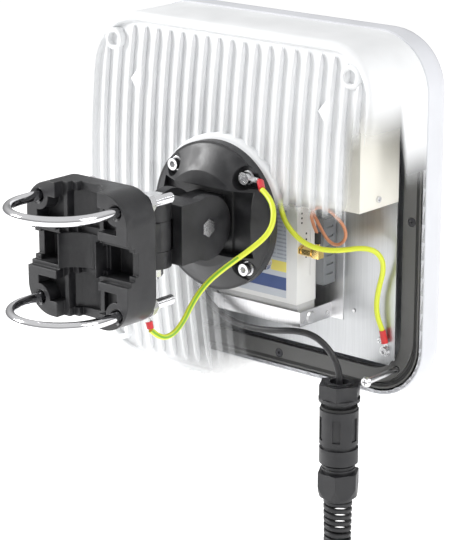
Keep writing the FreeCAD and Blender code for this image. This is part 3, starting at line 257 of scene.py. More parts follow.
def turned_metal(name, colour, rough, rounding=0.0003):
    finish = Finish(name, colour, rough, 1.0)
    speckle = finish.grain(300, 3.0)
    finish.set("Roughness", rough - 0.03 + speckle * 0.06)
    return finish.surface(speckle, 0.02, 0.0001, rounding)


def earth_cover():
    """Yellow insulation with a green stripe that winds slowly round the wire."""
    finish = Finish("green_and_yellow", (0.70, 0.77, 0.05), 0.36)
    along = finish.place("X", "UV")
    round_it = finish.place("Y", "UV")
    turn = finish.node("ShaderNodeMath", {"operation": "FRACT"}, {0: round_it + along * 1.5})
    stripe = (turn - 0.5).size().rise(0.05, 0.08)
    tone = finish.blend(stripe, (0.20, 0.44, 0.03), (0.70, 0.77, 0.05))
    finish.set("Base Color", tone)
    return finish.surface(finish.grain(1500, 2.0), 0.1)


def sleeved_lug(name, x, z, reach):
    """A bright ring lug whose barrel, further out than reach from the screw, wears a red sleeve."""
    finish = Finish(name, (0.72, 0.72, 0.73), 0.3, 1.0)
    across = finish.place("X") - x
    up = finish.place("Z") - z
    red = (across * across + up * up).rise((reach - 0.0001) ** 2, (reach + 0.0001) ** 2)
    finish.set("Base Color", finish.blend(red, (0.72, 0.72, 0.73), (0.62, 0.02, 0.03)))
    finish.set("Metallic", 1 - red)
    return finish.surface(finish.grain(700, 3.0), 0.08, 0.0002, 0.0003)


def printed_label():
    """A plain white label with a blue band, a yellow block and faint rows in place of print."""
    finish = Finish("plain_label", (0.70, 0.72, 0.74), 0.5)
    x = finish.place("X")
    z = finish.place("Z")
    band = z.rise(-0.0647, -0.0643) * z.rise(-0.0533, -0.0537)
    block = x.rise(0.0298, 0.0302) * z.rise(-0.0492, -0.0488) * z.rise(-0.0398, -0.0402)
    row = finish.node("ShaderNodeMath", {"operation": "FRACT"}, {0: z * 300.0}) > 0.6
    rows = row * z.rise(-0.0380, -0.0376) * finish.grain(500, 2.0, (1, 1, 0.1)).rise(0.42, 0.5)
    tone = finish.blend(rows * 0.55, (0.52, 0.55, 0.60), (0.20, 0.23, 0.30))
    tone = finish.blend(band, tone, (0.03, 0.065, 0.22))
    finish.set("Base Color", finish.blend(block, tone, (0.80, 0.70, 0.16)))
    return finish.surface(finish.grain(900, 2.0), 0.03)


def plain_cord(name, colour, rough):
    finish = Finish(name, colour, rough)
    cloud = finish.grain(300, 3.0)
    finish.set("Roughness", rough - 0.06 + cloud * 0.12)
    return finish.surface(cloud, 0.1)


def green_board():
    finish = Finish("green_board", (0.02, 0.14, 0.06), 0.35)
    tracks = finish.node("ShaderNodeTexBrick", {}, {"Vector": Signal(finish, finish.coords.outputs["Object"]),
                                                    "Scale": 90.0, "Mortar Size": 0.03}, 1)
    finish.set("Base Color", finish.blend(tracks, (0.015, 0.11, 0.05), (0.04, 0.24, 0.10)))
    return finish.surface(tracks, 0.1)


def coated_sheet():
    finish = Finish("cream_coat", (0.84, 0.82, 0.74), 0.42).vary(0.08, 0.95)
    return finish.surface(finish.grain(1100, 3.0), 0.12, 0.0002, 0.0004)


def make_finishes():
    return {
        "cover": white_cover(),
        "radome": moulded("radome_white", (0.70, 0.71, 0.745), 0.33, strength=0.05),
        "cast": powder_coat(),
        "nylon": black_nylon(),
        "rubber": soft_rubber(),
        "frame": moulded("dark_frame", (0.11, 0.11, 0.107), 0.5, 0.0005),
        "plate": brushed_sheet("brushed_plate", (0.52, 0.53, 0.54), 0.34, (45, 1, 1)),
        "bracket": brushed_sheet("folded_sheet", (0.80, 0.80, 0.81), 0.34, (45, 1, 1)),
        "zinc": turned_metal("zinc_plate", (0.72, 0.72, 0.73), 0.26),
        "dark_steel": turned_metal("blackened_steel", (0.06, 0.06, 0.065), 0.34),
        "chrome": turned_metal("polished_rod", (0.88, 0.88, 0.9), 0.10, 0.0),
        "gold": turned_metal("gold_plate", (0.95, 0.70, 0.28), 0.20),
        "brass": turned_metal("brass", (0.75, 0.58, 0.28), 0.3),
        "cream": coated_sheet(),
        "router": moulded("router_shell", (0.80, 0.80, 0.79), 0.45, 0.0006),
        "label": printed_label(),
        "pad": moulded("grey_pad", (0.55, 0.55, 0.55), 0.7),
        "module": moulded("grey_module", (0.20, 0.21, 0.225), 0.45, 0.0006),
        "board": green_board(),
        "earth": earth_cover(),
        "coax": plain_cord("copper_brown_cable", (0.62, 0.26, 0.14), 0.3),
        "lead": plain_cord("black_lead", (0.018, 0.018, 0.02), 0.42),
        "sleeve": plain_cord("red_sleeve", (0.62, 0.03, 0.03), 0.35),
        "lamp": moulded("dark_lamp", (0.05, 0.055, 0.06), 0.25),
        "panel_lug": sleeved_lug("panel_lug", 0.038, 0.038, 0.0105),
        "clamp_lug": sleeved_lug("clamp_lug", 0.041, -0.041, 0.0115),
    }


# ---------------------------------------------------------------- mesh helpers

class Shape:
    """Corners and faces that grow into one mesh."""

    def __init__(self):
        self.points = []
        self.faces = []

    def loft(self, rows, closed=True, cap_first=False, cap_last=False):
        """Skins a list of rows, each with the same number of points."""
        start = len(self.points)
        count = len(rows[0])
        for row in rows:
            self.points.extend(tuple(point) for point in row)
        for level in range(len(rows) - 1):
            low = start + level * count
            for index in range(count if closed else count - 1):
                after = (index + 1) % count
                self.faces.append((low + index, low + after, low + count + after, low + count + index))
        if cap_first:
            self.faces.append(tuple(start + index for index in reversed(range(count))))
        if cap_last:
            last = start + (len(rows) - 1) * count
            self.faces.append(tuple(last + index for index in range(count)))
        return self

    def lathe(self, profile, centre, axis, sides=48):
        """Turns (radius, distance along the axis) pairs round an axis."""
        along = Vector(axis).normalized()
        side = along.orthogonal().normalized()
        other = along.cross(side)
        rows = []
        for radius, reach in profile:
            ring = []
            for index in range(sides):
                angle = 2 * math.pi * index / sides
                out = side * math.cos(angle) + other * math.sin(angle)
                ring.append(Vector(centre) + along * reach + out * max(radius, 1e-6))
            rows.append(ring)
        return self.loft(rows)

    def piece(self, name, finish, sharp=35.0):
        """The finished object, in millimetres until now, with its faces outwards."""
        mesh = bpy.data.meshes.new(name)
        mesh.from_pydata([(x * MM, y * MM, z * MM) for x, y, z in self.points], [], self.faces)
        return finish_mesh(mesh, name, finish, sharp)


def finish_mesh(mesh, name, finish, sharp=35.0):
    work = bmesh.new()
    work.from_mesh(mesh)
    bmesh.ops.remove_doubles(work, verts=work.verts, dist=1e-6)
    bmesh.ops.recalc_face_normals(work, faces=work.faces)
    work.to_mesh(mesh)
    work.free()
    mesh.materials.clear()
    mesh.materials.append(finish.material)
    for face in mesh.polygons:
        face.use_smooth = True
    mesh.set_sharp_from_angle(angle=math.radians(sharp))
    thing = bpy.data.objects.new(name, mesh)
    scene.collection.objects.link(thing)
    return thing


def outline(wide, tall, corner, inset, count=40):
    """A rounded rectangle in x and z, the same number of points whatever its inset."""
    half_x = wide / 2 - inset
    half_z = tall / 2 - inset
    radius = max(corner - inset, 0.5)
    points = []
    straight = 14
    for turn in range(4):
        sx = (1, -1, -1, 1)[turn]
        sz = (1, 1, -1, -1)[turn]
        for step in range(count // 4 + 1):
            angle = math.pi / 2 * (turn + step / (count // 4))
            points.append((sx * (half_x - radius) + radius * math.cos(angle),
                           sz * (half_z - radius) + radius * math.sin(angle)))
        end = points[-1]
        nsx = (1, -1, -1, 1)[(turn + 1) % 4]
        nsz = (1, 1, -1, -1)[(turn + 1) % 4]
        angle = math.pi / 2 * (turn + 1)
        start = (nsx * (half_x - radius) + radius * math.cos(angle),
                 nsz * (half_z - radius) + radius * math.sin(angle))
        for step in range(1, straight):
            share = step / straight
            points.append((end[0] + (start[0] - end[0]) * share, end[1] + (start[1] - end[1]) * share))
    return points


# ---------------------------------------------------------------- cords

def route_points(name, route):
    """The smooth line through a route, as points in metres."""
    curve = bpy.data.curves.new(name, "CURVE")
    curve.dimensions = "3D"
    spline = curve.splines.new("NURBS")
    spline.points.add(len(route) - 1)
    for point, place in zip(spline.points, route):
        point.co = (*place, 1)
    spline.order_u = 3
    spline.use_endpoint_u = True
    spline.resolution_u = 12
    holder = bpy.data.objects.new(name, curve)
    scene.collection.objects.link(holder)
    bpy.context.view_layer.update()
    mesh = bpy.data.meshes.new_from_object(holder.evaluated_get(bpy.context.evaluated_depsgraph_get()))
    points = [vertex.co.copy() for vertex in mesh.vertices]
    bpy.data.objects.remove(holder)
    bpy.data.meshes.remove(mesh)
    return points


def tube(name, points, radius, finish, sides=20):
    """A round tube along the points, with its length and its turn kept in a map."""
    rings = []
    tangent = (points[1] - points[0]).normalized()
    side = tangent.orthogonal().normalized()
    lengths = [0.0]
    for index, point in enumerate(points):
        before = points[max(index - 1, 0)]
        after = points[min(index + 1, len(points) - 1)]
        tangent = (after - before).normalized()
        side = (side - tangent * side.dot(tangent)).normalized()
        other = tangent.cross(side)
        if index:
            lengths.append(lengths[-1] + (point - before).length)
        rings.append([point + (side * math.cos(2 * math.pi * turn / sides)
                               + other * math.sin(2 * math.pi * turn / sides)) * radius
                      for turn in range(sides)])
    mesh = bpy.data.meshes.new(name)
    verts = [corner for ring in rings for corner in ring]
    faces = []
    maps = []
    for level in range(len(rings) - 1):
        for turn in range(sides):
            after = (turn + 1) % sides
            faces.append((level * sides + turn, level * sides + after,
                          (level + 1) * sides + after, (level + 1) * sides + turn))
            maps.extend([(lengths[level], turn / sides), (lengths[level], (turn + 1) / sides),
                         (lengths[level + 1], (turn + 1) / sides), (lengths[level + 1], turn / sides)])
    for ring, order in ((0, -1), (len(rings) - 1, 1)):
        faces.append(tuple(ring * sides + turn for turn in range(sides))[::order])
        maps.extend([(lengths[ring], 0.0)] * sides)
    mesh.from_pydata(verts, [], faces)
    layer = mesh.uv_layers.new(name="UVMap")
    layer.data.foreach_set("uv", [value for pair in maps for value in pair])
    mesh.materials.append(finish.material)
    for face in mesh.polygons:
        face.use_smooth = True
    mesh.set_sharp_from_angle(angle=math.radians(60))
    thing = bpy.data.objects.new(name, mesh)
    scene.collection.objects.link(thing)
    return thing


def lay_cord(name, route, diameter, finish, body, node):
    route = [tuple(value * MM for value in place) for place in route]
    points = route_points(name, route)
    piece = tube(name, points, diameter / 2 * MM, finish)
    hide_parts(node)
    if isinstance(body, tuple):
        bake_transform(piece)
    else:
        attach(piece, body)
    return piece


LAN_ROUTE = [
    (-32, 212.5, -34), (-42, 212.4, -33.6), (-53, 209, -40), (-56, 202, -52),
    (-50, 196, -64), (-40, 193.4, -75),
    (-30, 193, -86), (-17, 193, -94.5), (-1, 193, -99), (18, 193.2, -100), (40, 193.8, -98), (60, 197, -94.5),
    (74, 201.8, -96), (84, 206, -103), (91.5, 209, -113), (96.2, 210.5, -125), (97, 210.5, -137.5),
    (97.05, 210.5, -150),
]
COAX_ROUTE = [
    (74.5, 208, -18.9), (74, 208, -12), (70, 208, -5.3), (67.2, 208, 1.8), (68.8, 208.8, 8),
    (74.5, 211.2, 10.6),
    (81, 214.6, 7.6), (87, 217.6, 1.8), (92.2, 219.6, -4.6), (94.6, 220, -12), (92, 218.8, -18.8),
    (85.6, 216.8, -21.6), (79.4, 214.6, -17.4), (75.2, 213, -10.6), (71, 212, -3.4), (66.8, 211.4, 3.6),
    (64, 211.1, 10), (63.5, 211, 16),
]
INNER_EARTH_ROUTE = [
    (50.4, 188.5, 18), (50.6, 189.6, 8.5), (54.5, 191.5, -3.5), (63.5, 194, -13.4), (74, 198, -20.2),
    (85.5, 205, -23.2), (97, 213.5, -22.8), (107, 222, -20.8), (115.5, 229.5, -22.5), (120.3, 235, -30.5),
    (119, 238, -42.5), (114.6, 238.5, -56), (112.2, 238.5, -70), (113, 239, -83), (116.5, 241.6, -93.5),
]
OUTER_EARTH_ROUTE = [
    (60.5, 153.5, 33.4), (70.5, 151.5, 28.6), (80, 145, 20), (85.5, 135.5, 9.5), (81.5, 125, -1),
    (71, 112.5, -12),
    (60.5, 100, -23), (53, 89.5, -35), (50, 80, -47), (49.5, 71, -59), (47.8, 60, -67.8),
    (45.2, 48.4, -68), (43, 40.3, -59.6),
]
SPLIT = 5


def lay_all_cords(finishes):
    meeting = tuple(value * MM for value in OUTER_EARTH_ROUTE[SPLIT])
    lay_cord("lan_lead", LAN_ROUTE, 5.5, finishes["lead"], "panel", "lan_cable")
    lay_cord("coax_lead", COAX_ROUTE, 2.8, finishes["coax"], "panel", "coax_cable")
    lay_cord("inner_earth_lead", INNER_EARTH_ROUTE, 4.4, finishes["earth"], "panel", "inner_earth_wire")
    lay_cord("outer_earth_lead_panel", OUTER_EARTH_ROUTE[:SPLIT + 1], 4.4, finishes["earth"],
             ("panel", "arm", tuple(value * MM for value in OUTER_EARTH_ROUTE[1]), meeting),
             "outer_earth_wire_panel")
    lay_cord("outer_earth_lead_clamp", OUTER_EARTH_ROUTE[SPLIT:], 4.4, finishes["earth"],
             ("arm", "clamp", meeting, tuple(value * MM for value in OUTER_EARTH_ROUTE[-2])),
             "outer_earth_wire_clamp")


# ---------------------------------------------------------------- back cover

PANEL_WIDE, PANEL_TALL, PANEL_CORNER = 300, 306, 48
PANEL_BACK, SEAM, FRONT = 173, 251, 284
ARCH_RADIUS, ARCH_MIDDLE = 800, 12
FLOOR_DEPTH = 4.5
WELL_X, WELL_Z = 125, 128
RIB_GAP, RIB_COUNT = 13.3, 21


def arch(z):
    """How far forward the arched back lies at a height."""
    return PANEL_BACK + ARCH_RADIUS - math.sqrt(ARCH_RADIUS ** 2 - (z - ARCH_MIDDLE) ** 2)


def back_row(inset, depth):
    return [(x, arch(z) + depth, z) for x, z in outline(PANEL_WIDE, PANEL_TALL, PANEL_CORNER, inset)]


def flat_row(inset, y):
    return [(x, y, z) for x, z in outline(PANEL_WIDE, PANEL_TALL, PANEL_CORNER, inset)]


def make_cover_shell(finish):
    """The tub: side walls, a soft raised rim and the recessed floor that the ribs stand on."""
    shape = Shape()
    rows = [flat_row(3, SEAM), flat_row(0, SEAM), flat_row(0, SEAM - 2), flat_row(0, SEAM - 45)]
    for inset, depth in ((0, 5.2), (0.25, 3.6), (0.9, 2.2), (1.9, 1.0), (3.1, 0.3), (4.4, 0), (5.6, 0.1),
                         (6.5, 0.7), (7.1, 1.7), (7.5, 3.0), (8.1, 4.0)):
        rows.append(back_row(inset, depth))
    for inset in (9.2, 16, 40, 65, 90, 115, 135, 148):
        rows.append(back_row(inset, FLOOR_DEPTH))
    shape.loft(rows, cap_last=True)
    for sx in (-1, 1):
        for sz in (-1, 1):
            shape.lathe([(9.8, 7), (9.6, 1.4), (9.2, 0.5), (8.4, 0), (6.8, 0), (6.0, 0.4), (5.6, 1.2),
                         (5.6, 31), (2.9, 31.2), (2.9, 34)],
                        (sx * WELL_X, arch(sz * WELL_Z) - 0.3, sz * WELL_Z), (0, 1, 0), 40)
    shape.lathe([(66.4, 9), (66.2, 0.2), (65.6, -0.8), (64.6, -1.5), (30, -1.5), (0.01, -1.5)],
                (0, PANEL_BACK, 0), (0, 1, 0), 96)
    for x, tip in ((-93.1, -12.2), (106.4, -12.2)):
        shape.loft(bulge_rows(x, 98, tip), cap_last=True)
    piece = shape.piece("cover_shell", finish, 40)
    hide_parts("back_cover")
    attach(piece, "panel")


def bulge_rows(x, z, tip):
    """A rounded three-cornered swelling beside a rib, where a screw stands behind the wall."""
    rows = []
    for shrink, depth in ((1.0, 5.0), (1.0, 2.4), (0.94, 1.4), (0.84, 0.9), (0.7, 0.7)):
        row = []
        for step in range(24):
            angle = 2 * math.pi * step / 24
            across = math.cos(angle)
            up = math.sin(angle)
            reach = 1 / max(abs(up) * 0.92 + max(-across, 0) * 0.85, abs(across) * 0.5, 0.55)
            px = x + 1 + (tip * 0.86 * max(-across, 0) * min(reach, 1.15) + 1.4 * max(across, 0)) * shrink
            pz = z + 13 * up * min(reach, 1.05) * shrink
            row.append((px, arch(pz) + depth, pz))
        rows.append(row)
    return rows


def socket_id(tree, name):
    return next(item.identifier for item in tree.interface.items_tree if item.name == name)


class Weave:
    """A Geometry Nodes tree that is filled in node by node."""

    def __init__(self, name, sizes):
        self.tree = bpy.data.node_groups.new(name, "GeometryNodeTree")
        self.sizes = sizes
        self.tree.interface.new_socket("Geometry", in_out="OUTPUT", socket_type="NodeSocketGeometry")
        for label, value in sizes.items():
            kind = "NodeSocketInt" if isinstance(value, int) else "NodeSocketFloat"
            self.tree.interface.new_socket(label, in_out="INPUT", socket_type=kind)
        self.inputs = self.tree.nodes.new("NodeGroupInput")

    def given(self, label):
        return self.inputs.outputs[label]

    def node(self, kind, settings=None, values=None, output=0):
        made = self.tree.nodes.new(kind)
        for key, value in (settings or {}).items():
            setattr(made, key, value)
        for key, value in (values or {}).items():
            if isinstance(value, bpy.types.NodeSocket):
                self.tree.links.new(value, made.inputs[key])
            else:
                made.inputs[key].default_value = value
        return made.outputs[output]

    def maths(self, kind, first, second=0.0):
        return self.node("ShaderNodeMath", {"operation": kind}, {0: first, 1: second})

    def result(self, name, geometry, finish, sharp=40.0):
        """Runs the tree once and keeps what it makes as a plain mesh."""
        real = self.node("GeometryNodeRealizeInstances", {}, {0: geometry})
        coated = self.node("GeometryNodeSetMaterial", {}, {"Geometry": real, "Material": finish.material})
        end = self.tree.nodes.new("NodeGroupOutput")
        self.tree.links.new(coated, end.inputs[0])
        holder = bpy.data.objects.new(name, bpy.data.meshes.new(name))
        scene.collection.objects.link(holder)
        modifier = holder.modifiers.new(name, "NODES")
        modifier.node_group = self.tree
        for label, value in self.sizes.items():
            modifier[socket_id(self.tree, label)] = value
        bpy.context.view_layer.update()
        mesh = bpy.data.meshes.new_from_object(holder.evaluated_get(bpy.context.evaluated_depsgraph_get()))
        bpy.data.objects.remove(holder)
        return finish_mesh(mesh, name, finish, sharp)


def make_cover_ribs(finish):
    """Round-topped ribs up the recessed floor, each as long as the rim leaves room for, along the arch."""
    weave = Weave("cover_ribs", {"Count": RIB_COUNT, "Gap": RIB_GAP * MM, "Radius": 2.6 * MM,
                                 "Half width": 139.6 * MM, "Half height": 142.4 * MM, "Corner": 38 * MM})
    line = weave.node("GeometryNodeCurvePrimitiveLine", {}, {"Start": (0, 0, -1), "End": (0, 0, 1)})
    fine = weave.node("GeometryNodeResampleCurve", {}, {"Curve": line, "Count": 120})
    middle = weave.maths("MULTIPLY", weave.maths("SUBTRACT", weave.given("Count"), 1.0), 0.5)
    index = weave.node("GeometryNodeInputIndex")
    across = weave.maths("MULTIPLY", weave.maths("SUBTRACT", index, middle), weave.given("Gap"))
    spread = weave.node("ShaderNodeCombineXYZ", {}, {0: across})
    points = weave.node("GeometryNodePoints", {}, {"Count": weave.given("Count"), "Position": spread})
    straight = weave.maths("SUBTRACT", weave.given("Half width"), weave.given("Corner"))
    over = weave.maths("MAXIMUM", weave.maths("SUBTRACT", weave.maths("ABSOLUTE", across), straight), 0.0)
    square = weave.maths("SUBTRACT", weave.maths("POWER", weave.given("Corner"), 2.0),
                         weave.maths("POWER", over, 2.0))
    rise = weave.maths("SQRT", weave.maths("MAXIMUM", square, 0.0))
    drop = weave.maths("SUBTRACT", weave.given("Corner"), rise)
    half = weave.maths("SUBTRACT", weave.given("Half height"), drop)
    sized = weave.node("ShaderNodeCombineXYZ", {}, {0: 1.0, 1: 1.0, 2: half})
    placed = weave.node("GeometryNodeInstanceOnPoints", {},
                        {"Points": points, "Instance": fine, "Scale": sized})
    real = weave.node("GeometryNodeRealizeInstances", {}, {0: placed})
    spot = weave.node("GeometryNodeInputPosition")
    height = weave.node("ShaderNodeSeparateXYZ", {}, {0: spot}, 2)
    away = weave.maths("POWER", weave.maths("SUBTRACT", height, ARCH_MIDDLE * MM), 2.0)
    bow = weave.maths("SUBTRACT", ARCH_RADIUS * MM + (PANEL_BACK + 3.3) * MM,
                      weave.maths("SQRT", weave.maths("SUBTRACT", (ARCH_RADIUS * MM) ** 2, away)))
    offset = weave.node("ShaderNodeCombineXYZ", {}, {1: bow})
    bent = weave.node("GeometryNodeSetPosition", {}, {"Geometry": real, "Offset": offset})
    factor = weave.node("GeometryNodeSplineParameter")
    from_end = weave.maths("MINIMUM", factor, weave.maths("SUBTRACT", 1.0, factor))
    taper = weave.maths("MINIMUM", weave.maths("POWER", weave.maths("MULTIPLY", from_end, 34.0), 0.5), 1.0)
    radius = weave.maths("MULTIPLY", weave.maths("MAXIMUM", taper, 0.02), weave.given("Radius"))
    shaped = weave.node("GeometryNodeSetCurveRadius", {}, {"Curve": bent, "Radius": radius})
    ring = weave.node("GeometryNodeCurvePrimitiveCircle", {}, {"Resolution": 16, "Radius": 1.0})
    skin = weave.node("GeometryNodeCurveToMesh", {},
                      {"Curve": shaped, "Profile Curve": ring, "Scale": radius, "Fill Caps": True})
    piece = weave.result("cover_ribs", skin, finish, 50)
    trim_ribs(piece)
    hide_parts("back_cover")
    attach(piece, "panel")


def trim_ribs(piece):
    """Takes the ribs away where the corner wells and the flange's pad stand."""
    cutter = Shape()
    for sx in (-1, 1):
        for sz in (-1, 1):
            cutter.loft(drum(sx * WELL_X, sz * WELL_Z, 8.6, 24), cap_first=True, cap_last=True)
    cutter.loft(drum(0, 0, 65.6, 96), cap_first=True, cap_last=True)
    mesh = bpy.data.meshes.new("cutter")
    mesh.from_pydata([(x * MM, y * MM, z * MM) for x, y, z in cutter.points], [], cutter.faces)
    tool = bpy.data.objects.new("cutter", mesh)
    scene.collection.objects.link(tool)
    modifier = piece.modifiers.new("trim", "BOOLEAN")
    modifier.operation = "DIFFERENCE"
    modifier.solver = "EXACT"
    modifier.object = tool
    bpy.context.view_layer.update()
    trimmed = bpy.data.meshes.new_from_object(piece.evaluated_get(bpy.context.evaluated_depsgraph_get()))
    piece.modifiers.clear()
    piece.data = trimmed
    bpy.data.objects.remove(tool)


def drum(x, z, radius, sides):
    turns = [2 * math.pi * step / sides for step in range(sides)]
    return [[(x + radius * math.cos(turn), y, z + radius * math.sin(turn)) for turn in turns]
            for y in (150, 215)]


# ---------------------------------------------------------------- radome

def make_radome(finish):
    shape = Shape()
    rows = [flat_row(4, SEAM), flat_row(-0.4, SEAM), flat_row(-1, SEAM + 0.6), flat_row(-1, SEAM + 14)]
    for step in range(9):
        angle = math.pi / 2 * step / 8
        rows.append(flat_row(-1 + 17 * (1 - math.cos(angle)), FRONT - 17 + 17 * math.sin(angle)))
    for inset in (40, 80, 120, 148):
        rows.append(flat_row(inset, FRONT))
    shape.loft(rows, cap_last=True)
    piece = shape.piece("radome_skin", finish, 40)
    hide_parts("radome")
    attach(piece, "panel")


# ---------------------------------------------------------------- U-bolts

ROD_RADIUS, LEG_X, BOW_Y, TIP_Y = 4.0, 41, -11.8, 68
THREAD_PITCH, THREAD_DEPTH = 1.25, 0.75
ROUND = 28


def make_u_bolt(name, height, body, node, finish):
    """A bent rod whose legs carry a rolled thread from below the nuts to the chamfered tips."""
    shape = Shape()
    rows = []
    for step in range(41):
        angle = math.pi * step / 40
        centre = Vector((-LEG_X * math.cos(angle), BOW_Y - LEG_X * math.sin(angle), height))
        out = Vector((-math.cos(angle), -math.sin(angle), 0))
        rows.append([tuple(centre + out * ROD_RADIUS * math.cos(2 * math.pi * turn / ROUND)
                           + Vector((0, 0, ROD_RADIUS * math.sin(2 * math.pi * turn / ROUND))))
                     for turn in range(ROUND)])
    shape.loft(rows)
    first, last = 28, TIP_Y - 1
    count = int((last - first) / THREAD_PITCH * 5)
    for sx in (-1, 1):
        rows = [leg_ring(sx * LEG_X, y, height, ROD_RADIUS) for y in (BOW_Y, 20, 26)]
        for step in range(count + 1):
            y = first + (last - first) * step / count
            rows.append([thread_point(sx * LEG_X, y, height, turn) for turn in range(ROUND)])
        rows.append(leg_ring(sx * LEG_X, TIP_Y - 0.9, height, 3.3))
        rows.append(leg_ring(sx * LEG_X, TIP_Y, height, 2.7))
        shape.loft(rows, cap_last=True)
    piece = shape.piece(name, finish, 50)
    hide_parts(node)
    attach(piece, body)


def leg_ring(x, y, z, radius):
    return [(x + radius * math.cos(2 * math.pi * turn / ROUND), y,
             z + radius * math.sin(2 * math.pi * turn / ROUND)) for turn in range(ROUND)]


def thread_point(x, y, z, turn):
    angle = 2 * math.pi * turn / ROUND
    share = (y / THREAD_PITCH + turn / ROUND) % 1.0
    reach = ROD_RADIUS - THREAD_DEPTH * (1 - abs(2 * share - 1)) ** 0.9
    return (x + reach * math.cos(angle), y, z + reach * math.sin(angle))


# ---------------------------------------------------------------- gland

GLAND_X, GLAND_Y = 97, 210.5


def make_strain_relief(finish):
    """A springy spiral between a collar under the gland's nut and an open end ring."""
    weave = Weave("relief_spiral", {"Turns": 6.4, "Top radius": 10.4 * MM, "End radius": 9.6 * MM,
                                    "Tall": 35.5 * MM, "Strip wide": 3.7 * MM, "Strip thick": 3.6 * MM})
    spiral = weave.node("GeometryNodeCurveSpiral", {}, {"Resolution": 40, "Rotations": weave.given("Turns"),
                                                        "Start Radius": weave.given("End radius"),
                                                        "End Radius": weave.given("Top radius"),
                                                        "Height": weave.given("Tall")})
    upright = weave.node("GeometryNodeSetCurveNormal", {"mode": "Z_UP"}, {"Curve": spiral})
    bar = weave.node("GeometryNodeCurvePrimitiveQuadrilateral", {}, {"Width": weave.given("Strip thick"),
                                                                     "Height": weave.given("Strip wide")})
    soft = weave.node("GeometryNodeFilletCurve", {}, {"Curve": bar, "Radius": 0.7 * MM})
    strip = weave.node("GeometryNodeCurveToMesh", {},
                       {"Curve": upright, "Profile Curve": soft, "Fill Caps": True})
    moved = weave.node("GeometryNodeTransform", {},
                       {"Geometry": strip, "Translation": (GLAND_X * MM, GLAND_Y * MM, -273.2 * MM)})
    spiral_piece = weave.result("relief_spiral", moved, finish, 40)
    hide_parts("strain_relief")
    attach(spiral_piece, "gland_cap")
    shape = Shape()
    shape.lathe([(5.2, 0), (12.4, 0), (12.4, -3), (12.0, -3.8), (8.6, -4.2), (5.2, -4.2), (5.2, 0)],
                (GLAND_X, GLAND_Y, -233.5), (0, 0, 1))
    shape.lathe([(5.0, 0), (11.0, 0), (11.6, -0.6), (11.6, -3.6), (11.0, -4.5), (5.6, -4.5), (5.0, -4.0),
                 (5.0, 0)],
                (GLAND_X, GLAND_Y, -271.5), (0, 0, 1))
    rings = shape.piece("relief_rings", finish)
    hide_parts("strain_relief")
    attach(rings, "gland_cap")


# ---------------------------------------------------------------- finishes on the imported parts

COATS = {
    "cast": ("clamp_body", "tilt_arm", "mount_flange"),
    "nylon": ("gland_lock_nut", "gland_body", "gland_nut", "cable_coupler", "lan_plug"),
    "rubber": ("seal_ring", "shelf_grommet", "gland_o_ring", "gland_seal", "coax_sleeve"),
    "frame": ("seal_frame",),
    "plate": ("reflector_plate",),
    "bracket": ("router_bracket", "patch_elements"),
    "dark_steel": ("frame_screws",),
    "zinc": ("cover_screws", "plate_screws", "board_standoffs", "shelf_screws", "bracket_rivets",
             "inner_earth_screw", "u_bolt_nuts", "inner_earth_lugs", "flange_nuts",
             "flange_screws", "flange_washers",
             "tilt_bolt", "tilt_nut", "swivel_bolt", "swivel_nut"),
    "gold": ("sma_jack", "sma_plug"),
    "brass": ("radome_inserts",),
    "cream": ("radio_housing", "shelf_plate"),
    "router": ("router_case", "router_front"),
    "label": ("router_label",),
    "pad": ("router_foot_pad",),
    "module": ("poe_splitter",),
    "board": ("antenna_board", "radio_board", "router_board"),
    "sleeve": ("inner_earth_sleeves",),
    "panel_lug": ("outer_earth_lug_panel",),
    "clamp_lug": ("outer_earth_lug_clamp",),
    "lamp": ("router_lamps",),
}


def coat_packed_parts(finishes):
    for finish, nodes in COATS.items():
        for name in nodes:
            mesh = NODES[name].data
            mesh.materials.clear()
            mesh.materials.append(finishes[finish].material)


# ---------------------------------------------------------------- floor and light

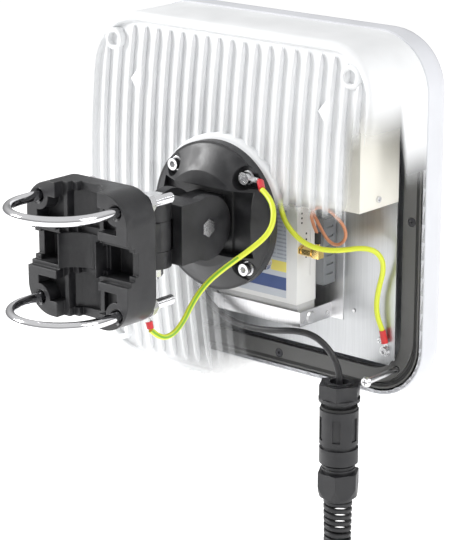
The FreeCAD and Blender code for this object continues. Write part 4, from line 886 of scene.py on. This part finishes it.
def make_stage():
    finish = Finish("pale_floor", (0.93, 0.93, 0.93), 0.7)
    finish.set("Emission Color", (1, 1, 1, 1))
    finish.set("Emission Strength", 0.42)
    finish.surface(finish.grain(40, 3.0), 0.02)
    low = cad_box[0][2] - 0.012
    mesh = bpy.data.meshes.new("floor")
    mesh.from_pydata([(-12, -12, low), (12, -12, low), (12, 12, low), (-12, 12, low)], [], [(0, 1, 2, 3)])
    mesh.materials.append(finish.material)
    floor = bpy.data.objects.new("floor", mesh)
    scene.collection.objects.link(floor)
    scene.world = studio_world()
    scene.view_settings.view_transform = "Standard"
    softbox("key", (-1.7, -0.9, 1.0), 0.6, 44)
    softbox("fill", (1.6, 0.3, 0.8), 0.9, 14)


def studio_world():
    """White where it is seen, and for the light on the object bright overhead and dim at eye level."""
    world = bpy.data.worlds.new("studio")
    world.use_nodes = True
    tree = world.node_tree
    way = tree.nodes.new("ShaderNodeTexCoord")
    parts = tree.nodes.new("ShaderNodeSeparateXYZ")
    tree.links.new(way.outputs["Generated"], parts.inputs[0])
    climb = tree.nodes.new("ShaderNodeMapRange")
    climb.inputs["From Min"].default_value = 0.02
    climb.inputs["From Max"].default_value = 0.55
    climb.inputs["To Min"].default_value = 0.18
    climb.inputs["To Max"].default_value = 0.68
    tree.links.new(parts.outputs["Z"], climb.inputs["Value"])
    seen = tree.nodes.new("ShaderNodeLightPath")
    choose = tree.nodes.new("ShaderNodeMix")
    tree.links.new(seen.outputs["Is Camera Ray"], choose.inputs[0])
    tree.links.new(climb.outputs[0], choose.inputs[2])
    choose.inputs[3].default_value = 1.0
    tree.links.new(choose.outputs[0], tree.nodes["Background"].inputs["Strength"])
    tree.nodes["Background"].inputs["Color"].default_value = (1, 1, 1, 1)
    return world


def softbox(name, place, size, power):
    light = bpy.data.lights.new(name, "AREA")
    light.size = size
    light.energy = power
    stand = bpy.data.objects.new(name, light)
    stand.location = place
    stand.rotation_euler = (Vector((0, 0.15, 0)) - Vector(place)).to_track_quat("-Z", "Y").to_euler()
    scene.collection.objects.link(stand)


def build():
    place_camera()
    finishes = make_finishes()
    lay_all_cords(finishes)
    coat_packed_parts(finishes)
    make_cover_shell(finishes["cover"])
    make_cover_ribs(finishes["cover"])
    make_radome(finishes["radome"])
    make_u_bolt("upper_bow", 41, "upper_u_bolt", "u_bolt_upper", finishes["chrome"])
    make_u_bolt("lower_bow", -41, "lower_u_bolt", "u_bolt_lower", finishes["chrome"])
    make_strain_relief(finishes["nylon"])
    make_stage()


build()
